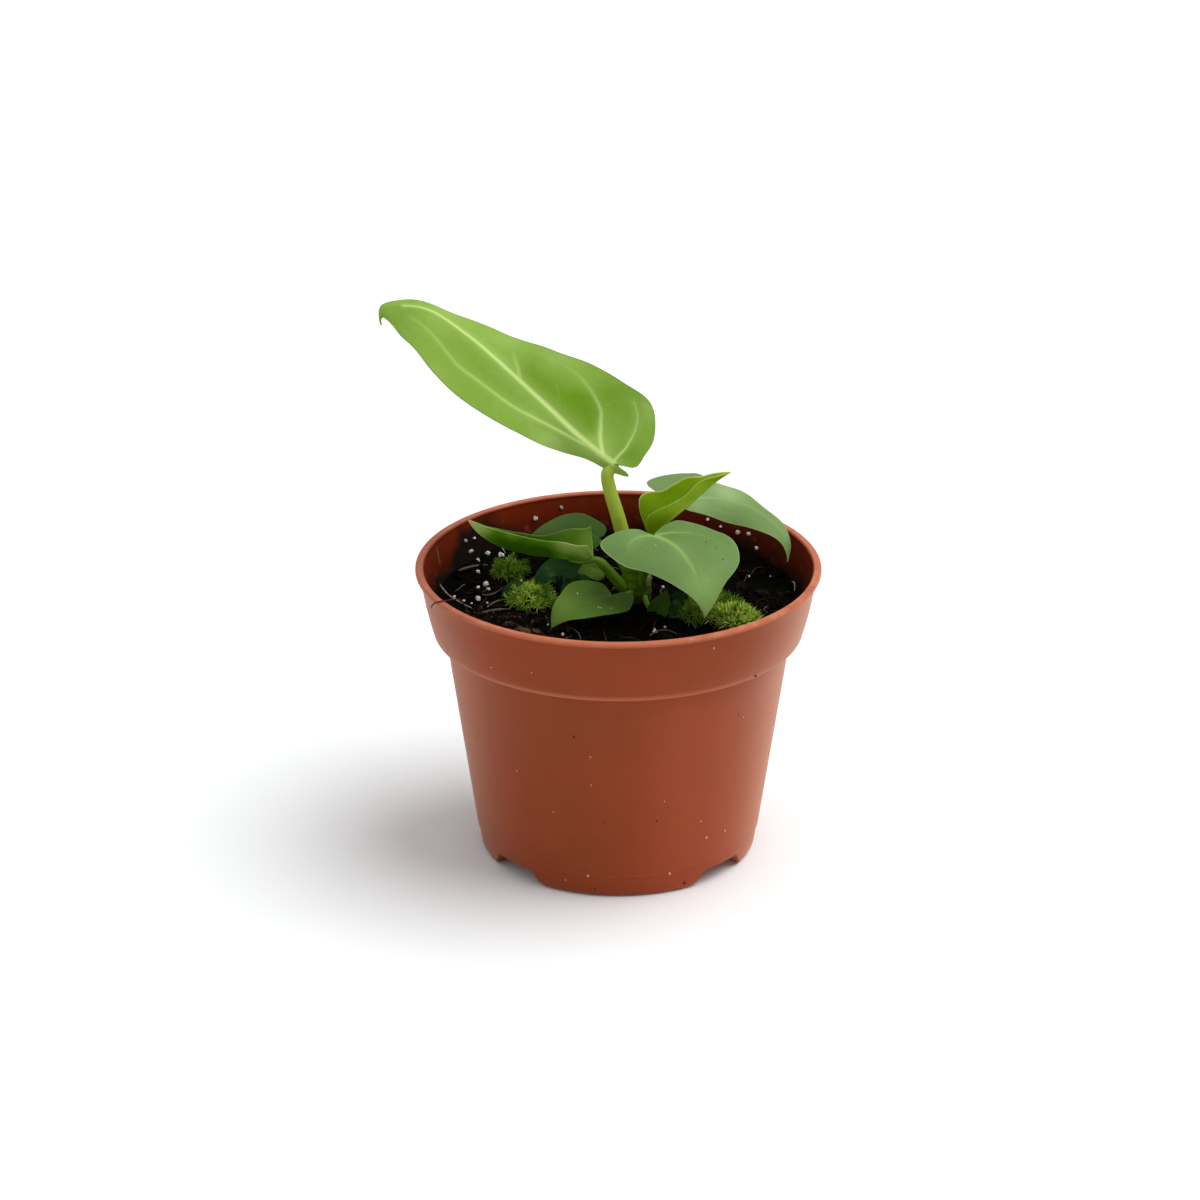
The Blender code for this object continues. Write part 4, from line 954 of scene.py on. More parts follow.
def build_moss(plain, bright):
    """Tufts of moss: a low dark core that star-shaped shoots stand out of, uneven in height and tone."""
    draw = random.Random(SEED + 3)
    for name, (x, y, radius, height, shoots, paleness) in MOSS.items():
        work = new_work()
        base = soil_height(x, y)
        # The right clump takes the bright colours, painted light, and longer shoots
        surface, growth = (bright, 1.3) if name == "moss_right" else (plain, 1.0)
        for vert in bmesh.ops.create_icosphere(work, subdivisions=4, radius=1)["verts"]:
            vert.co *= 1 + 0.5 * noise.noise(vert.co * 1.9 + Vector((x, y, 0)))
            vert.co = Vector((x + 0.8 * radius * vert.co.x, y + 0.8 * radius * vert.co.y,
                              base + 0.5 * height * vert.co.z))
        places = []
        tones = []
        for number in range(shoots):
            share = math.sqrt((number + 0.5) / shoots)
            turn = GOLDEN_TURN * number + draw.uniform(-0.5, 0.5)
            side = Vector((math.cos(turn), math.sin(turn), 0))
            spot = Vector((2.2 * side.x * share + x, 2.2 * side.y * share, y))
            clump = 0.5 + 0.9 * abs(noise.noise(spot))
            root = Vector((x, y, base)) + 0.85 * radius * share * side
            root.z += 0.7 * height * (1 - share ** 2) * clump
            lean = 0.9 * share * side + Vector((draw.uniform(-0.5, 0.5), draw.uniform(-0.5, 0.5), 1))
            turned_by = lean.normalized().to_track_quat("Z", "Y").to_matrix().to_4x4()
            grown = Matrix.Scale(growth * draw.uniform(0.7, 1.3), 4)
            places.append(Matrix.Translation(root) @ turned_by @ grown)
            tones.append(paleness * draw.uniform(0.45, 1.0) * (0.55 + 0.45 * clump))
        kinds = len(NEEDLE_SPREADS)
        for kind, spread in enumerate(NEEDLE_SPREADS):
            shoot = moss_shoot(SHORTEST_STEM + STEM_STEP * kind, spread)
            scatter(work, shoot, places[kind::kinds], tones[kind::kinds])
        replaced = () if name in MOSS_WITHOUT_SOLID else (name,)
        finish_piece("fine_" + name, work, [surface], replaced, sharp=50)


# Leaves

def margin(half, length, count):
    """Edge of a half blade as (along, across), from the inner corner of the lobe to the tip."""
    back, out = half.get("lobe", (0, 0))
    widths = half["half_widths"]
    corners = half.get("corners", LOBE_CORNERS)
    points = [(-back * behind, out * beside) for behind, beside in corners] if back > 0 else []
    points += [(length * i / len(widths), width) for i, width in enumerate(widths)]
    points.append((length, 0))
    edge = smooth_route(points, EDGE_STEPS)
    reach = lengths(edge)
    even = np.linspace(0, reach[-1], count)
    return np.stack([np.interp(even, reach, edge[:, 0]), np.interp(even, reach, edge[:, 1])], axis=1)


def blade_points(leaf, rows, columns):
    """Rows of points from the stalk to the tip, each row from the left margin to the right one."""
    curve = smooth_route(leaf["midrib"], MIDRIB_STEPS)
    reach = lengths(curve)
    length = reach[-1]
    slopes = np.gradient(curve, reach, axis=0)
    chord = unit(curve[-1] - curve[0])
    wave, waves = leaf.get("wave", (0, 1))
    row = np.linspace(0, 1, rows + 1)
    middle = length * np.clip((row - LOBE_SHARE) / (1 - LOBE_SHARE), 0, None)
    column = np.linspace(0, 1, columns + 1)[None, :]
    halves = []
    for sign, half in ((-1, leaf["left"]), (1, leaf["right"])):
        edge = margin(half, length, rows + 1)
        a = middle[:, None] * (1 - column) + edge[:, :1] * column
        b = np.maximum(edge[:, 1:], 0) * column
        share = a / length
        widest = max(half["half_widths"])
        lift = np.radians(along(half.get("lift", LEVEL), share))
        curl = np.radians(along(half.get("curl", USUAL_CURL), share))
        curl = np.where(abs(curl) < MERGE, MERGE, curl)
        across = b / widest
        out = widest * (np.sin(lift + curl * across) - np.sin(lift)) / curl
        up = widest * (np.cos(lift) - np.cos(lift + curl * across)) / curl
        up = up + wave * across ** 2 * np.sin(2 * math.pi * waves * share + sign)
        held = np.clip(a, 0, length)
        centre = np.stack([np.interp(held, reach, curve[:, i]) for i in range(3)], axis=-1)
        slope = unit(np.stack([np.interp(held, reach, slopes[:, i]) for i in range(3)], axis=-1))
        heading = unit(SLOPE_SHARE * slope + (1 - SLOPE_SHARE) * chord)
        centre = centre + heading * np.minimum(a, 0)[..., None]
        face = along(leaf["faces"], share)
        normal = unit(face - (face * heading).sum(axis=-1)[..., None] * heading)
        sideways = np.cross(heading, normal)
        halves.append(centre + sign * sideways * out[..., None] + normal * up[..., None])
    return np.concatenate([halves[0][:, ::-1], halves[1][:, 1:]], axis=1)


def blade_normals(grid, leaf):
    """The way the upper face looks at each point of the blade."""
    rough = np.cross(np.gradient(grid, axis=1), np.gradient(grid, axis=0))
    face = along(leaf["faces"], np.linspace(0, 1, grid.shape[0]))[:, None, :] + np.zeros_like(grid)
    flat = np.linalg.norm(rough, axis=-1) < 1e-4
    normals = unit(np.where(flat[..., None], face, rough))
    turned_over = (normals * face).sum(axis=-1).mean() < 0
    return -normals if turned_over else normals


def surface_at(grid, across, share):
    """Points of the blade at shares across (-1 to 1) and along (0 to 1) it."""
    rows, wide = grid.shape[0] - 1, grid.shape[1] - 1
    i = np.clip(share, 0, 1) * rows
    j = (np.clip(across, -1, 1) + 1) / 2 * wide
    i0 = np.minimum(i.astype(int), rows - 1)
    j0 = np.minimum(j.astype(int), wide - 1)
    u = (i - i0)[:, None]
    v = (j - j0)[:, None]
    near = grid[i0, j0] * (1 - v) + grid[i0, j0 + 1] * v
    far = grid[i0 + 1, j0] * (1 - v) + grid[i0 + 1, j0 + 1] * v
    return near * (1 - u) + far * u


def vein_fields(grid, veins):
    """Strength of the vein lines and of the soft glow beside them at each point of the blade."""
    line = np.zeros(grid.shape[:2])
    glow = np.zeros(grid.shape[:2])
    for route, widths, strengths in veins:
        curve = smooth_route(route, VEIN_STEPS + 1)
        places = surface_at(grid, curve[:, 0], curve[:, 1])
        halves = np.linspace(*widths, VEIN_STEPS + 1)
        levels = np.linspace(*strengths, VEIN_STEPS + 1)
        for i in range(VEIN_STEPS):
            span = places[i + 1] - places[i]
            share = np.clip(((grid - places[i]) @ span) / max(span @ span, MERGE), 0, 1)
            apart = np.linalg.norm(grid - places[i] - share[..., None] * span, axis=-1)
            near = apart / (halves[i] + (halves[i + 1] - halves[i]) * share)
            level = levels[i] + (levels[i + 1] - levels[i]) * share
            line = np.maximum(line, level * np.exp(-near ** 2))
            glow = np.maximum(glow, level * np.exp(-near / GLOW_REACH))
    return line, glow


def patch_field(grid, patches):
    """Painted shade and light at each point of the blade, from -1, painted light, to 1, painted shade."""
    field = np.zeros(grid.shape[:2])
    for (across, share), reach, strength in patches:
        centre = surface_at(grid, np.array([across]), np.array([share]))[0]
        apart = np.linalg.norm(grid - centre, axis=-1)
        field += strength * np.exp(-(apart / reach) ** 2)
    return np.clip(field, -1, 1)


def add_blade(work, name, leaf):
    """A thin blade with sunken veins, thickest at its middle."""
    rows, columns = leaf["grid"]
    grid = blade_points(leaf, rows, columns)
    normals = blade_normals(grid, leaf)
    line, glow = vein_fields(grid, VEINS.get(name, USUAL_VEINS))
    # Painted shade and painted light of the blade
    painted_shading = patch_field(grid, SHADE_AND_LIGHT_PATCHES.get(name, ()))
    from_middle = np.abs(np.linspace(-1, 1, 2 * columns + 1))[None, :]
    middle = grid[:, columns:columns + 1]
    half_width = np.linalg.norm(grid - middle, axis=-1) / np.maximum(from_middle, 1e-6)
    half_width[:, columns] = half_width[:, columns - 1:columns + 2:2].mean(axis=1)
    steady = np.clip(half_width / FULL_RELIEF_WIDTH, 0, 1)
    past_dry = np.linspace(0, 1, rows + 1) - DRY_FROM.get(name, NEVER_DRY)
    dry = np.clip(past_dry / DRY_FADE, 0, 1)
    fields = {"vein": line, "glow": glow, "painted_shading": painted_shading, "edge": half_width * (1 - from_middle),
              "under": np.zeros_like(line), "dry": dry[:, None] + np.zeros_like(line)}
    middle_thick, edge_thick = BLADE_THICKNESS

    layers = {label: value_layer(work, label) for label in fields}
    upper = bmesh.ops.create_grid(work, x_segments=2 * columns, y_segments=rows, size=1,
                                  calc_uvs=True)["verts"]
    faces = list({face for vert in upper for face in vert.link_faces})
    copied = bmesh.ops.duplicate(work, geom=upper + faces)["geom"]
    lower = [item for item in copied if isinstance(item, bmesh.types.BMVert)]
    lower_faces = [item for item in copied if isinstance(item, bmesh.types.BMFace)]
    for verts, side, relief in ((upper, 1, VEIN_GROOVE), (lower, -1, UNDER_RIDGE)):
        fields["under"][:] = side < 0
        for vert in verts:
            i = round((vert.co.y + 1) / 2 * rows)
            j = round((vert.co.x + 1) * columns)
            place = Vector(grid[i, j])
            hill = noise.noise(place * UNDULATION_PITCH + Vector((0, 0, len(name))))
            ripple = UNDULATION * steady[i, j] * from_middle[0, j] * hill
            groove = relief * steady[i, j] * line[i, j]
            thick = middle_thick + (edge_thick - middle_thick) * from_middle[0, j]
            vert.co = place + Vector(normals[i, j]) * (ripple - groove + side * thick / 2)
            for label, layer in layers.items():
                vert[layer] = fields[label][i, j]
    bmesh.ops.reverse_faces(work, faces=lower_faces)
    bmesh.ops.bridge_loops(work, edges=[edge for edge in work.edges if edge.is_boundary])
    bmesh.ops.remove_doubles(work, verts=work.verts, dist=2 * MERGE)
    bmesh.ops.recalc_face_normals(work, faces=work.faces)


def add_stalk(work, leaf):
    """The stalk, which runs on behind the blade as a short rib that thins out."""
    rows, columns = RIB_GRID
    route = [np.array(point, float) for point in leaf["stalk"]]
    base, top = leaf["stalk_radii"]
    radii = [base + (top - base) * i / len(route) for i in range(len(route))]
    grid = blade_points(leaf, rows, columns)
    normals = blade_normals(grid, leaf)
    for step, share in enumerate(RIB_SHARES):
        row = round(rows * (LOBE_SHARE + RIB_SPACING * step))
        radii.append(top * share)
        depth = 1.25 * top * share + BLADE_THICKNESS[0] / 2
        route.append(grid[row, columns] - normals[row, columns] * depth)
    tube(work, route, radii, sides=18, rings=12 * len(route), surface=1)


def finish_leaf(piece, name, leaf, surfaces, nodes=()):
    """Blade and stalk of one leaf as one piece."""
    work = new_work("leaf", toned=False)
    add_blade(work, name, leaf)
    add_stalk(work, leaf)
    finish_piece(piece, work, surfaces, nodes, sharp=50)


def build_leaf(name, leaf, stalk_surface):
    """One leaf, which takes the place of its solid."""
    surfaces = [leaf_material(name), stalk_surface]
    finish_leaf("fine_" + name, name, leaf, surfaces, (name,))


def build_sprouts(stalk_surface):
    """The sprouts between the low leaves, dark with painted shade."""
    surfaces = [leaf_material("low_sprouts"), stalk_surface]
    for number, (stalk, midrib, facing, width) in enumerate(SPROUTS):
        widths = [share * width for share in SPROUT_WIDTHS]
        half = {"half_widths": widths, "lift": SPROUT_LIFT, "curl": SPROUT_CURL}
        leaf = {"stalk": stalk, "stalk_radii": SPROUT_STALK_RADII, "midrib": midrib,
                "faces": (facing, facing), "left": half, "right": half, "grid": SPROUT_GRID}
        finish_leaf(f"low_sprout_{number}", "low_sprouts", leaf, surfaces)


# Crown

def build_crown(surface):
    """Short thick stem base with the scars of shed leaves."""
    work = new_work("crown", toned=False)
    tube(work, CROWN_ROUTE, CROWN_RADII, sides=32, rings=60)
    for vert in work.verts:
        turn = math.atan2(vert.co.y - CROWN_Y, vert.co.x - CROWN_X)
        rings = 0.12 * math.sin(vert.co.z * 2.6 + math.sin(turn))
        scars = 0.1 * math.sin(3 * turn + vert.co.z * 0.4)
        rough = 0.25 * noise.noise(vert.co * 0.5)
        outward = Vector((math.cos(turn), math.sin(turn), 0))
        if math.hypot(vert.co.x - CROWN_X, vert.co.y - CROWN_Y) > 0.5:
            vert.co += outward * (rings + scars + rough)
    finish_piece("fine_crown", work, [surface], ("crown",), sharp=60)


def build_sheath(surface):
    """One dry papery scale round the crown."""
    work = new_work("sheath", toned=False)
    bmesh.ops.create_grid(work, x_segments=6, y_segments=14, size=1, calc_uvs=True)
    for vert in work.verts:
        share = (vert.co.y + 1) / 2
        width = 0.9 * math.sin(math.pi * min(1, share * 0.7 + 0.25)) + 0.05
        turn = math.radians(SHEATH_TURN) + 0.3 * vert.co.x * width
        reach = SHEATH_RADIUS + 0.3 * share + 0.25 * math.sin(5 * share)
        vert.co = (CROWN_X + reach * math.cos(turn), CROWN_Y + reach * math.sin(turn),
                   SHEATH_BOTTOM + SHEATH_HEIGHT * share)
    bmesh.ops.solidify(work, geom=work.faces[:], thickness=SHEATH_THICKNESS)
    bmesh.ops.recalc_face_normals(work, faces=work.faces)
    finish_piece("dry_sheath", work, [surface])


# Material helpers

def connect(tree, socket, value):
    """Feeds a socket from another node's output, or sets it to a number or to a screen colour."""
    if isinstance(value, bpy.types.NodeSocket):
        tree.links.new(value, socket)
    elif socket.type == "RGBA" and len(value) == 3:
        socket.default_value = linear(value)
    else:
        socket.default_value = value


def add(tree, kind, settings=None, **inputs):
    """A node with its settings, each input being a value or another node's output."""
    made = tree.nodes.new(kind)
    for name, value in (settings or {}).items():
        setattr(made, name, value)
    for name, value in inputs.items():
        connect(tree, made.inputs[name.replace("_", " ")], value)
    return made


def use_group(tree, group, **inputs):
    """The outputs of a shader group placed in a tree."""
    return add(tree, "ShaderNodeGroup", {"node_tree": group}, **inputs).outputs


def mix(tree, factor, first, second):
    """Mixed colour of two colours."""
    made = add(tree, "ShaderNodeMix", {"data_type": "RGBA"})
    for number, value in ((0, factor), (6, first), (7, second)):
        connect(tree, made.inputs[number], value)
    return made.outputs[2]


def cover(tree, colour, *layers):
    """A colour with others laid over it in turn, each given as its mask and its colour."""
    for mask, over in layers:
        colour = mix(tree, mask, colour, over)
    return colour


def maths(tree, operation, first, second):
    """Result of a sum or a comparison of two numbers."""
    made = add(tree, "ShaderNodeMath", {"operation": operation})
    connect(tree, made.inputs[0], first)
    connect(tree, made.inputs[1], second)
    return made.outputs[0]


def times(tree, *values):
    """Product of numbers."""
    product = values[0]
    for value in values[1:]:
        product = maths(tree, "MULTIPLY", product, value)
    return product


def eased(tree, value, low, high, at_low=0.0, at_high=1.0):
    """A number that eases from one level to another as the value goes from low to high."""
    return add(tree, "ShaderNodeMapRange", {"interpolation_type": "SMOOTHSTEP"}, Value=value,
               From_Min=low, From_Max=high, To_Min=at_low, To_Max=at_high).outputs[0]


def band(tree, value, rise, fall, level):
    """A number that eases up as the value crosses one range, and down to 0 as it crosses another."""
    return times(tree, eased(tree, value, *rise), eased(tree, value, *fall, level, 0.0))


def attribute(tree, name):
    """A number kept on the points of the piece."""
    return add(tree, "ShaderNodeAttribute", {"attribute_name": name}).outputs["Fac"]


def object_place(tree, stretch=(1, 1, 1)):
    """Place on the object, stretched along its axes."""
    coordinates = add(tree, "ShaderNodeTexCoord").outputs["Object"]
    return add(tree, "ShaderNodeMapping", Vector=coordinates, Scale=stretch).outputs["Vector"]


def cloudy(tree, scale, detail, stretch=(1, 1, 1)):
    """Soft noise over the piece."""
    place = object_place(tree, stretch)
    return add(tree, "ShaderNodeTexNoise", Vector=place, Scale=scale, Detail=detail).outputs[0]


def new_group(name, colours, numbers, outputs):
    """An empty shader group as its tree, its inputs and its outputs, of which only Colour is a colour."""
    tree = bpy.data.node_groups.new(name, "ShaderNodeTree")
    sockets = [("INPUT", label, label in colours) for label in colours + numbers]
    sockets += [("OUTPUT", label, label == "Colour") for label in outputs]
    for side, label, coloured in sockets:
        kind = "NodeSocketColor" if coloured else "NodeSocketFloat"
        tree.interface.new_socket(label, in_out=side, socket_type=kind)
    return tree, tree.nodes.new("NodeGroupInput").outputs, tree.nodes.new("NodeGroupOutput").inputs


def new_material(name, roughness, shine=0.5):
    """A material, its tree and its shader."""
    made = bpy.data.materials.new(name)
    made.use_nodes = True
    shader = made.node_tree.nodes["Principled BSDF"]
    shader.inputs["Roughness"].default_value = roughness
    shader.inputs["Specular IOR Level"].default_value = shine
    return made, made.node_tree, shader


def set_bump(tree, shader, height, distance, strength=1.0):
    """Fine relief of the surface, its distance in millimetres."""
    bump = add(tree, "ShaderNodeBump", Height=height, Distance=distance * MM, Strength=strength)
    connect(tree, shader.inputs["Normal"], bump.outputs["Normal"])


def uneven_finish(material, colour, patches, scale, share, grain, relief):
    """Gives a new material an uneven colour and a fine grain."""
    made, tree, shader = material
    mixed = use_group(tree, UNEVEN, Colour=colour, Patch_Colour=patches, Scale=scale, Share=share)
    connect(tree, shader.inputs["Base Color"], mixed["Colour"])
    set_bump(tree, shader, use_group(tree, GRAIN, Scale=grain)["Height"], relief)
    return made


# Shared effects

def uneven_colour_group():
    """Blends two colours in soft patches with finer ones over them."""
    tree, given, result = new_group(
        "uneven colour", ("Colour", "Patch Colour"), ("Scale", "Share"), ("Colour", "Value"))
    broad = cloudy(tree, given["Scale"], 2.0)
    fine = cloudy(tree, times(tree, given["Scale"], 7.0), 2.0)
    both = maths(tree, "ADD", times(tree, broad, 0.72), times(tree, fine, 0.28))
    patches = eased(tree, both, 0.36, 0.64)
    colour = mix(tree, times(tree, patches, given["Share"]), given["Colour"], given["Patch Colour"])
    connect(tree, result["Colour"], colour)
    connect(tree, result["Value"], patches)
    return tree


def specks_group():
    """Mask of a few round specks scattered over the surface."""
    tree, given, result = new_group("specks", (), ("Scale", "Size", "Share"), ("Mask",))
    cells = add(tree, "ShaderNodeTexVoronoi", Vector=object_place(tree), Scale=given["Scale"]).outputs
    spot = eased(tree, cells["Distance"], times(tree, given["Size"], 0.6), given["Size"], 1.0, 0.0)
    chance = add(tree, "ShaderNodeSeparateColor", Color=cells["Color"]).outputs[0]
    connect(tree, result["Mask"], times(tree, spot, maths(tree, "LESS_THAN", chance, given["Share"])))
    return tree


def grain_group():
    """Height of a fine grain, for relief."""
    tree, given, result = new_group("fine grain", (), ("Scale",), ("Height",))
    fine = times(tree, cloudy(tree, given["Scale"], 3.0), 0.6)
    coarse = times(tree, cloudy(tree, times(tree, given["Scale"], 0.25), 2.0), 0.4)
    connect(tree, result["Height"], maths(tree, "ADD", fine, coarse))
    return tree


def leaf_skin_group(uneven, specks):
    """Leaf skin: patches, painted shade and light, pale veins with a soft edge, a margin line, underside,
    dry tip and net relief.
    """
    tree, given, result = new_group(
        "leaf skin", ("Blade", "Patches", "Veins", "Margin", "Underside"),
        ("Vein Strength", "Margin Width"), ("Colour", "Roughness", "Height"))
    patched = use_group(tree, uneven, Colour=given["Blade"], Patch_Colour=given["Patches"], Scale=60.0,
                        Share=0.3)
    # Painted shade in the patch colour and painted light in the vein colour, where the blade's patches ask
    # for them
    depth = attribute(tree, "painted_shading")
    painted_shade = maths(tree, "MAXIMUM", depth, 0.0)
    painted_light = times(tree, maths(tree, "MINIMUM", depth, 0.0), -0.6)
    vein = times(tree, attribute(tree, "vein"), given["Vein Strength"])
    glow = times(tree, attribute(tree, "glow"), 0.38, given["Vein Strength"])
    veins_and_painted_light = maths(tree, "MAXIMUM", maths(tree, "MAXIMUM", vein, glow), painted_light)
    cells = add(tree, "ShaderNodeTexVoronoi", {"feature": "DISTANCE_TO_EDGE"}, Scale=420.0,
                Vector=object_place(tree))
    net = eased(tree, cells.outputs["Distance"], 0.0, 0.16, 1.0, 0.0)
    edge = eased(tree, attribute(tree, "edge"), 0.1, given["Margin Width"], 0.85, 0.0)
    dots = use_group(tree, specks, Scale=205.0, Size=0.08, Share=0.025)["Mask"]
    below = times(tree, attribute(tree, "under"), 0.9)
    dry = times(tree, attribute(tree, "dry"), 0.85)
    front = cover(tree, patched["Colour"], (painted_shade, given["Patches"]), (veins_and_painted_light, given["Veins"]),
                  (times(tree, net, 0.012), given["Veins"]), (edge, given["Margin"]),
                  (times(tree, dots, 0.5), LEAF_DOTS))
    back = cover(tree, given["Underside"], (painted_shade, given["Patches"]),
                 (times(tree, painted_light, 1.5), given["Veins"]), (times(tree, vein, 0.6), given["Veins"]))
    connect(tree, result["Colour"], cover(tree, front, (below, back), (dry, DRY_LEAF)))
    rough = maths(tree, "ADD", times(tree, patched["Value"], 0.12), 0.36)
    connect(tree, result["Roughness"], maths(tree, "ADD", times(tree, below, 0.15), rough))
    height = maths(tree, "SUBTRACT", cloudy(tree, 900.0, 2.0), times(tree, net, 0.5))
    connect(tree, result["Height"], height)
    return tree


UNEVEN = uneven_colour_group()
SPECKS = specks_group()
GRAIN = grain_group()
LEAF_SKIN = leaf_skin_group(UNEVEN, SPECKS)


# Materials

def pot_material():
    """Matte moulded polypropylene, faintly streaked, with dust specks and a crust inside, and with a
    painted sheen, painted light and highlights, and painted shade inside, above the soil and on the rim's
    left.
    """
    made, tree, shader = new_material("terracotta plastic", roughness=0.42, shine=0.1)
    paint = POT_COLOURS
    mixed = use_group(tree, UNEVEN, Colour=paint["wall"], Patch_Colour=paint["patches"], Scale=20.0,
                      Share=0.7)
    place = add(tree, "ShaderNodeSeparateXYZ", Vector=object_place(tree)).outputs
    x, y, z = [times(tree, axis, 1 / MM) for axis in place]
    inside = attribute(tree, "inside")
    outside = maths(tree, "SUBTRACT", 1.0, inside)
    # Painted sheen: paler where the outside turns away from the view, more so toward the right, where the
    # light is
    facing = add(tree, "ShaderNodeLayerWeight", Blend=0.5).outputs["Facing"]
    streaks = times(tree, cloudy(tree, 260.0, 3.0, (1, 1, 0.08)), 0.16)
    painted_edge_sheen = times(tree, eased(tree, facing, 0.3, 0.95), eased(tree, x, -50, 50, 0.32, 0.66), outside)
    # Painted highlight along the lower edge of the band
    ledge = times(tree, band(tree, z, (69.0, 69.6), (70, 71.2), 0.5), outside)
    # Painted highlight: the rim is paler toward its top, with real wear and scratches over it, and painted
    # shade dulls it toward the left, away from the light
    rim_highlight_and_wear = eased(tree, z, POT_HEIGHT - LIP_THICKNESS, POT_HEIGHT - 0.4, 0.0, 0.75)
    rubbed = cloudy(tree, 210.0, 4.0, (1, 1, 2))
    rim = cover(tree, paint["rim"], (eased(tree, rubbed, 0.5, 0.7), paint["rim wear"]),
                (eased(tree, rubbed, 0.3, 0.42, 0.8, 0.0), paint["rim scratches"]),
                (eased(tree, x, -58, -30, 0.55, 0.0), paint["painted rim shade"]))
    # Painted shadow: a thin darker line along the outside of the lip
    groove = times(tree, band(tree, z, (88.35, 88.55), (88.65, 88.85), 0.6), outside,
                   eased(tree, rubbed, 0.35, 0.6))
    # Painted light: a warm paler patch on the right of the wall, fainter on the band
    warm = times(tree, band(tree, x, (0, 22), (28, 48), 0.35), eased(tree, z, 60, 74, 1.0, 0.3))
    # Painted shade: the inner wall is darker than the outside, least so toward the lip
    painted_inner_shade = mix(tree, eased(tree, z, 79, 88), paint["inside"], paint["upper inside"])
    crust = times(tree, eased(tree, cloudy(tree, 380.0, 5.0), 0.58, 0.7, 0.0, 0.5),
                  eased(tree, z, 80, 88, 1.0, 0.2), inside)
    pale = times(tree, use_group(tree, SPECKS, Scale=170.0, Size=0.055, Share=0.045)["Mask"], 0.7)
    dark = times(tree, use_group(tree, SPECKS, Scale=190.0, Size=0.06, Share=0.04)["Mask"], 0.6)
    # Painted shade above the soil: the inner wall goes near black up to a ragged line, which rises toward
    # the back left
    rise = times(tree, eased(tree, x, -44, -24, 8.5, 0.5), eased(tree, y, 23, 31))
    ragged = times(tree, cloudy(tree, 120.0, 4.0), 9)
    level = maths(tree, "SUBTRACT", maths(tree, "SUBTRACT", z, rise), ragged)
    soil_line_shade = times(tree, eased(tree, level, 72, 77, 0.96, 0.0), inside)
    colour = cover(
        tree, mixed["Colour"], (streaks, paint["streaks"]), (painted_edge_sheen, paint["edges"]),
        (ledge, paint["ledge"]), (rim_highlight_and_wear, rim), (groove, paint["warm"]), (warm, paint["warm"]),
        (inside, painted_inner_shade), (crust, paint["crust"]), (pale, paint["pale specks"]),
        (dark, paint["dark specks"]), (soil_line_shade, paint["soil_line_shade"]))
    connect(tree, shader.inputs["Base Color"], colour)
    rough = maths(tree, "ADD", times(tree, mixed["Value"], 0.08), times(tree, soil_line_shade, 0.4))
    connect(tree, shader.inputs["Roughness"], maths(tree, "ADD", rough, 0.4))
    set_bump(tree, shader, use_group(tree, GRAIN, Scale=1400.0)["Height"], 0.05, 0.5)
    return made


def soil_material():
    """Moist dark peat."""
    material = new_material("moist peat", roughness=0.8, shine=0.02)
    return uneven_finish(material, (10, 9, 6), (5, 5, 3),
                         scale=260.0, share=1.0, grain=1600.0, relief=0.5)


def crumb_material():
    """Peat and bark crumbs, each with its own tone from black to brown."""
    material = new_material("peat and bark crumbs", roughness=0.75, shine=0.03)
    tree = material[1]
    tone = attribute(tree, "tone")
    colour = cover(tree, (6, 5, 4), (eased(tree, tone, 0.0, 1.0), (28, 21, 14)),
                   (eased(tree, tone, 1.0, 1.8), (92, 66, 42)))
    return uneven_finish(material, colour, (10, 8, 6), scale=700.0, share=0.6, grain=2200.0, relief=0.3)


def perlite_material():
    """Porous off-white grains, a little soiled."""
    material = new_material("perlite", roughness=0.85, shine=0.2)
    colour = mix(material[1], attribute(material[1], "tone"), (250, 246, 240), (222, 212, 200))
    return uneven_finish(material, colour, (196, 184, 170),
                         scale=1100.0, share=0.4, grain=3000.0, relief=0.25)


def dust_material(name, colour, patches):
    """Dust and dirt that stick to the pot."""
    return uneven_finish(new_material(name, roughness=0.8, shine=0.1), colour, patches,
                         scale=900.0, share=0.6, grain=2800.0, relief=0.2)


def fibre_material():
    """Dry fibres, from pale straw through red-brown to near black."""
    material = new_material("dry fibres", roughness=0.65, shine=0.08)
    tree = material[1]
    tone = attribute(tree, "tone")
    colour = cover(tree, (176, 168, 148), (eased(tree, tone, 0.0, 0.35), (112, 98, 84)),
                   (eased(tree, tone, 0.35, 0.6), (84, 42, 28)),
                   (eased(tree, tone, 0.6, 0.95), (18, 14, 10)))
    return uneven_finish(material, colour, (40, 30, 22),
                         scale=500.0, share=0.35, grain=2600.0, relief=0.1)


def moss_material(name):
    """Moss, dark green at its core and yellow-green at the shoots."""
    material = new_material(name + " moss", roughness=0.6, shine=0.06)
    tree = material[1]
    tone = attribute(tree, "tone")
    core, shoots, tips = MOSS_COLOURS[name]
    colour = cover(tree, core, (eased(tree, tone, 0.0, 0.35), shoots), (eased(tree, tone, 0.35, 0.9), tips))
    return uneven_finish(material, colour, shoots, scale=380.0, share=0.4, grain=2400.0, relief=0.1)


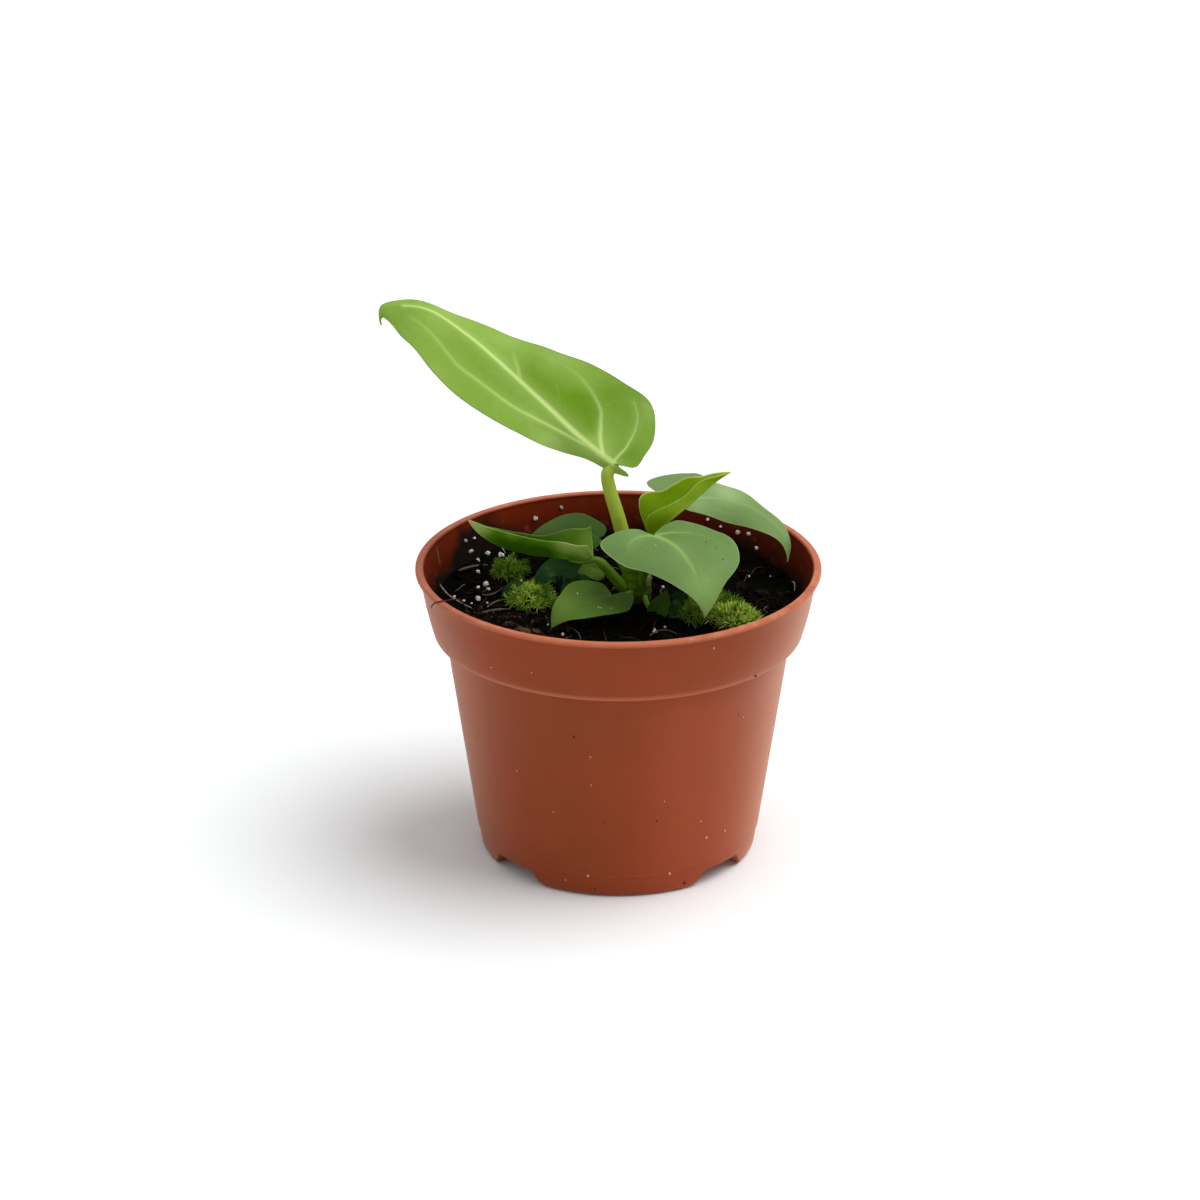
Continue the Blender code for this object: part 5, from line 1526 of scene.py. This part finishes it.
def stalk_material(name):
    """Smooth juicy stalk with fine lengthwise streaks."""
    made, tree, shader = new_material(name + " leaf stalk", roughness=0.4, shine=0.12)
    skin, dark, pale = STALK_COLOURS[name]
    around = add(tree, "ShaderNodeUVMap", {"uv_map": "leaf"}).outputs[0]
    stretched = add(tree, "ShaderNodeMapping", Vector=around, Scale=(26, 2, 1)).outputs["Vector"]
    lines = add(tree, "ShaderNodeTexNoise", Vector=stretched, Scale=1.0, Detail=3.0).outputs[0]
    mixed = use_group(tree, UNEVEN, Colour=skin, Patch_Colour=dark, Scale=90.0, Share=0.55)
    colour = mix(tree, eased(tree, lines, 0.5, 0.75, 0.0, 0.45), mixed["Colour"], pale)
    connect(tree, shader.inputs["Base Color"], colour)
    set_bump(tree, shader, lines, 0.15, 0.5)
    return made


def crown_material():
    """Green stem base that browns toward the soil."""
    material = new_material("crown skin", roughness=0.5, shine=0.04)
    tree = material[1]
    height = add(tree, "ShaderNodeSeparateXYZ", Vector=object_place(tree)).outputs["Z"]
    colour = mix(tree, eased(tree, height, 78 * MM, 86 * MM), (58, 70, 10), (92, 128, 14))
    return uneven_finish(material, colour, (62, 84, 8), scale=180.0, share=0.7, grain=1300.0, relief=0.3)


def sheath_material():
    """Papery dry sheath."""
    material = new_material("dry sheath", roughness=0.7, shine=0.2)
    return uneven_finish(material, (168, 176, 120), (138, 116, 78),
                         scale=420.0, share=0.7, grain=2600.0, relief=0.1)


def leaf_material(name):
    """Skin of one leaf in its own colours."""
    made, tree, shader = new_material(name.replace("_", " ") + " skin", roughness=0.42, shine=0.06)
    blade, patches, veins, edge, underside, strength, width = LEAF_LOOKS[name]
    skin = use_group(tree, LEAF_SKIN, Blade=blade, Patches=patches, Veins=veins, Margin=edge,
                     Underside=underside, Vein_Strength=strength, Margin_Width=width)
    connect(tree, shader.inputs["Base Color"], skin["Colour"])
    connect(tree, shader.inputs["Roughness"], skin["Roughness"])
    set_bump(tree, shader, skin["Height"], 0.08, 0.5)
    return made


def floor_material():
    """Plain matte white."""
    made, tree, shader = new_material("white floor", roughness=0.9, shine=0.0)
    mixed = use_group(tree, UNEVEN, Colour=(0.955, 0.98, 0.985, 1), Patch_Colour=(0.95, 0.975, 0.98, 1),
                      Scale=3.0, Share=1.0)
    connect(tree, shader.inputs["Base Color"], mixed["Colour"])
    return made


# Stage, light and camera

def build_floor():
    """A wide floor to stand on, which isn't part of the object."""
    work = bmesh.new()
    bmesh.ops.create_grid(work, x_segments=1, y_segments=1, size=FLOOR_HALF_WIDTH)
    floor = placed("floor", mesh_of("floor", work))
    floor.data.materials.append(floor_material())


def build_light():
    """A broad soft light from the right over a bright even surround."""
    world = bpy.data.worlds.new("white surround")
    world.use_nodes = True
    surround = world.node_tree.nodes["Background"].inputs
    surround["Color"].default_value = (1, 1, 1, 1)
    surround["Strength"].default_value = WORLD_STRENGTH
    bpy.context.scene.world = world
    sun = bpy.data.lights.new("soft light", "SUN")
    sun.energy = SUN_STRENGTH
    sun.angle = math.radians(SUN_WIDTH)
    height = math.radians(SUN_HEIGHT)
    aim(placed("soft light", sun), Vector((math.cos(height), 0, math.sin(height))), "Z")


def build_camera():
    """The photograph's view: a long lens from the front, 24 degrees above the pot."""
    data = bpy.data.cameras.new("camera")
    data.lens = CAMERA_LENS
    data.sensor_width = CAMERA_SENSOR
    data.clip_start = 0.05
    data.clip_end = 60.0
    camera = placed("camera", data)
    camera.location = CAMERA_PLACE
    aim(camera, Vector(CAMERA_AIM) - camera.location, "-Z")
    bpy.context.scene.camera = camera


def aim(item, direction, axis):
    """Turns one axis of an object to a direction."""
    item.rotation_mode = "QUATERNION"
    item.rotation_quaternion = direction.to_track_quat(axis, "Y")


def main():
    """Builds every piece, the stage, the light and the camera."""
    perlite = perlite_material()
    crumbs = crumb_material()
    build_pot(pot_material())
    build_stuck_grains("pot", POT_GRAINS, dust_material("pale dust", (222, 166, 136), (196, 130, 98)),
                       dust_material("dark dirt", (88, 44, 28), (60, 30, 20)))
    build_stuck_grains("leaves", LEAF_GRAINS, perlite, crumbs)
    build_soil(soil_material())
    build_crumbs(crumbs)
    build_perlite(perlite)
    build_fibres(fibre_material())
    build_moss(moss_material("plain"), moss_material("bright"))
    build_crown(crown_material())
    build_sheath(sheath_material())
    stalks = {name: stalk_material(name) for name in STALK_COLOURS}
    for name, leaf in LEAVES.items():
        build_leaf(name, leaf, stalks["tall" if name == "tall_leaf" else "other"])
    build_sprouts(stalks["sprout"])
    build_floor()
    build_light()
    build_camera()
    bpy.context.scene.view_settings.view_transform = "Standard"


main()
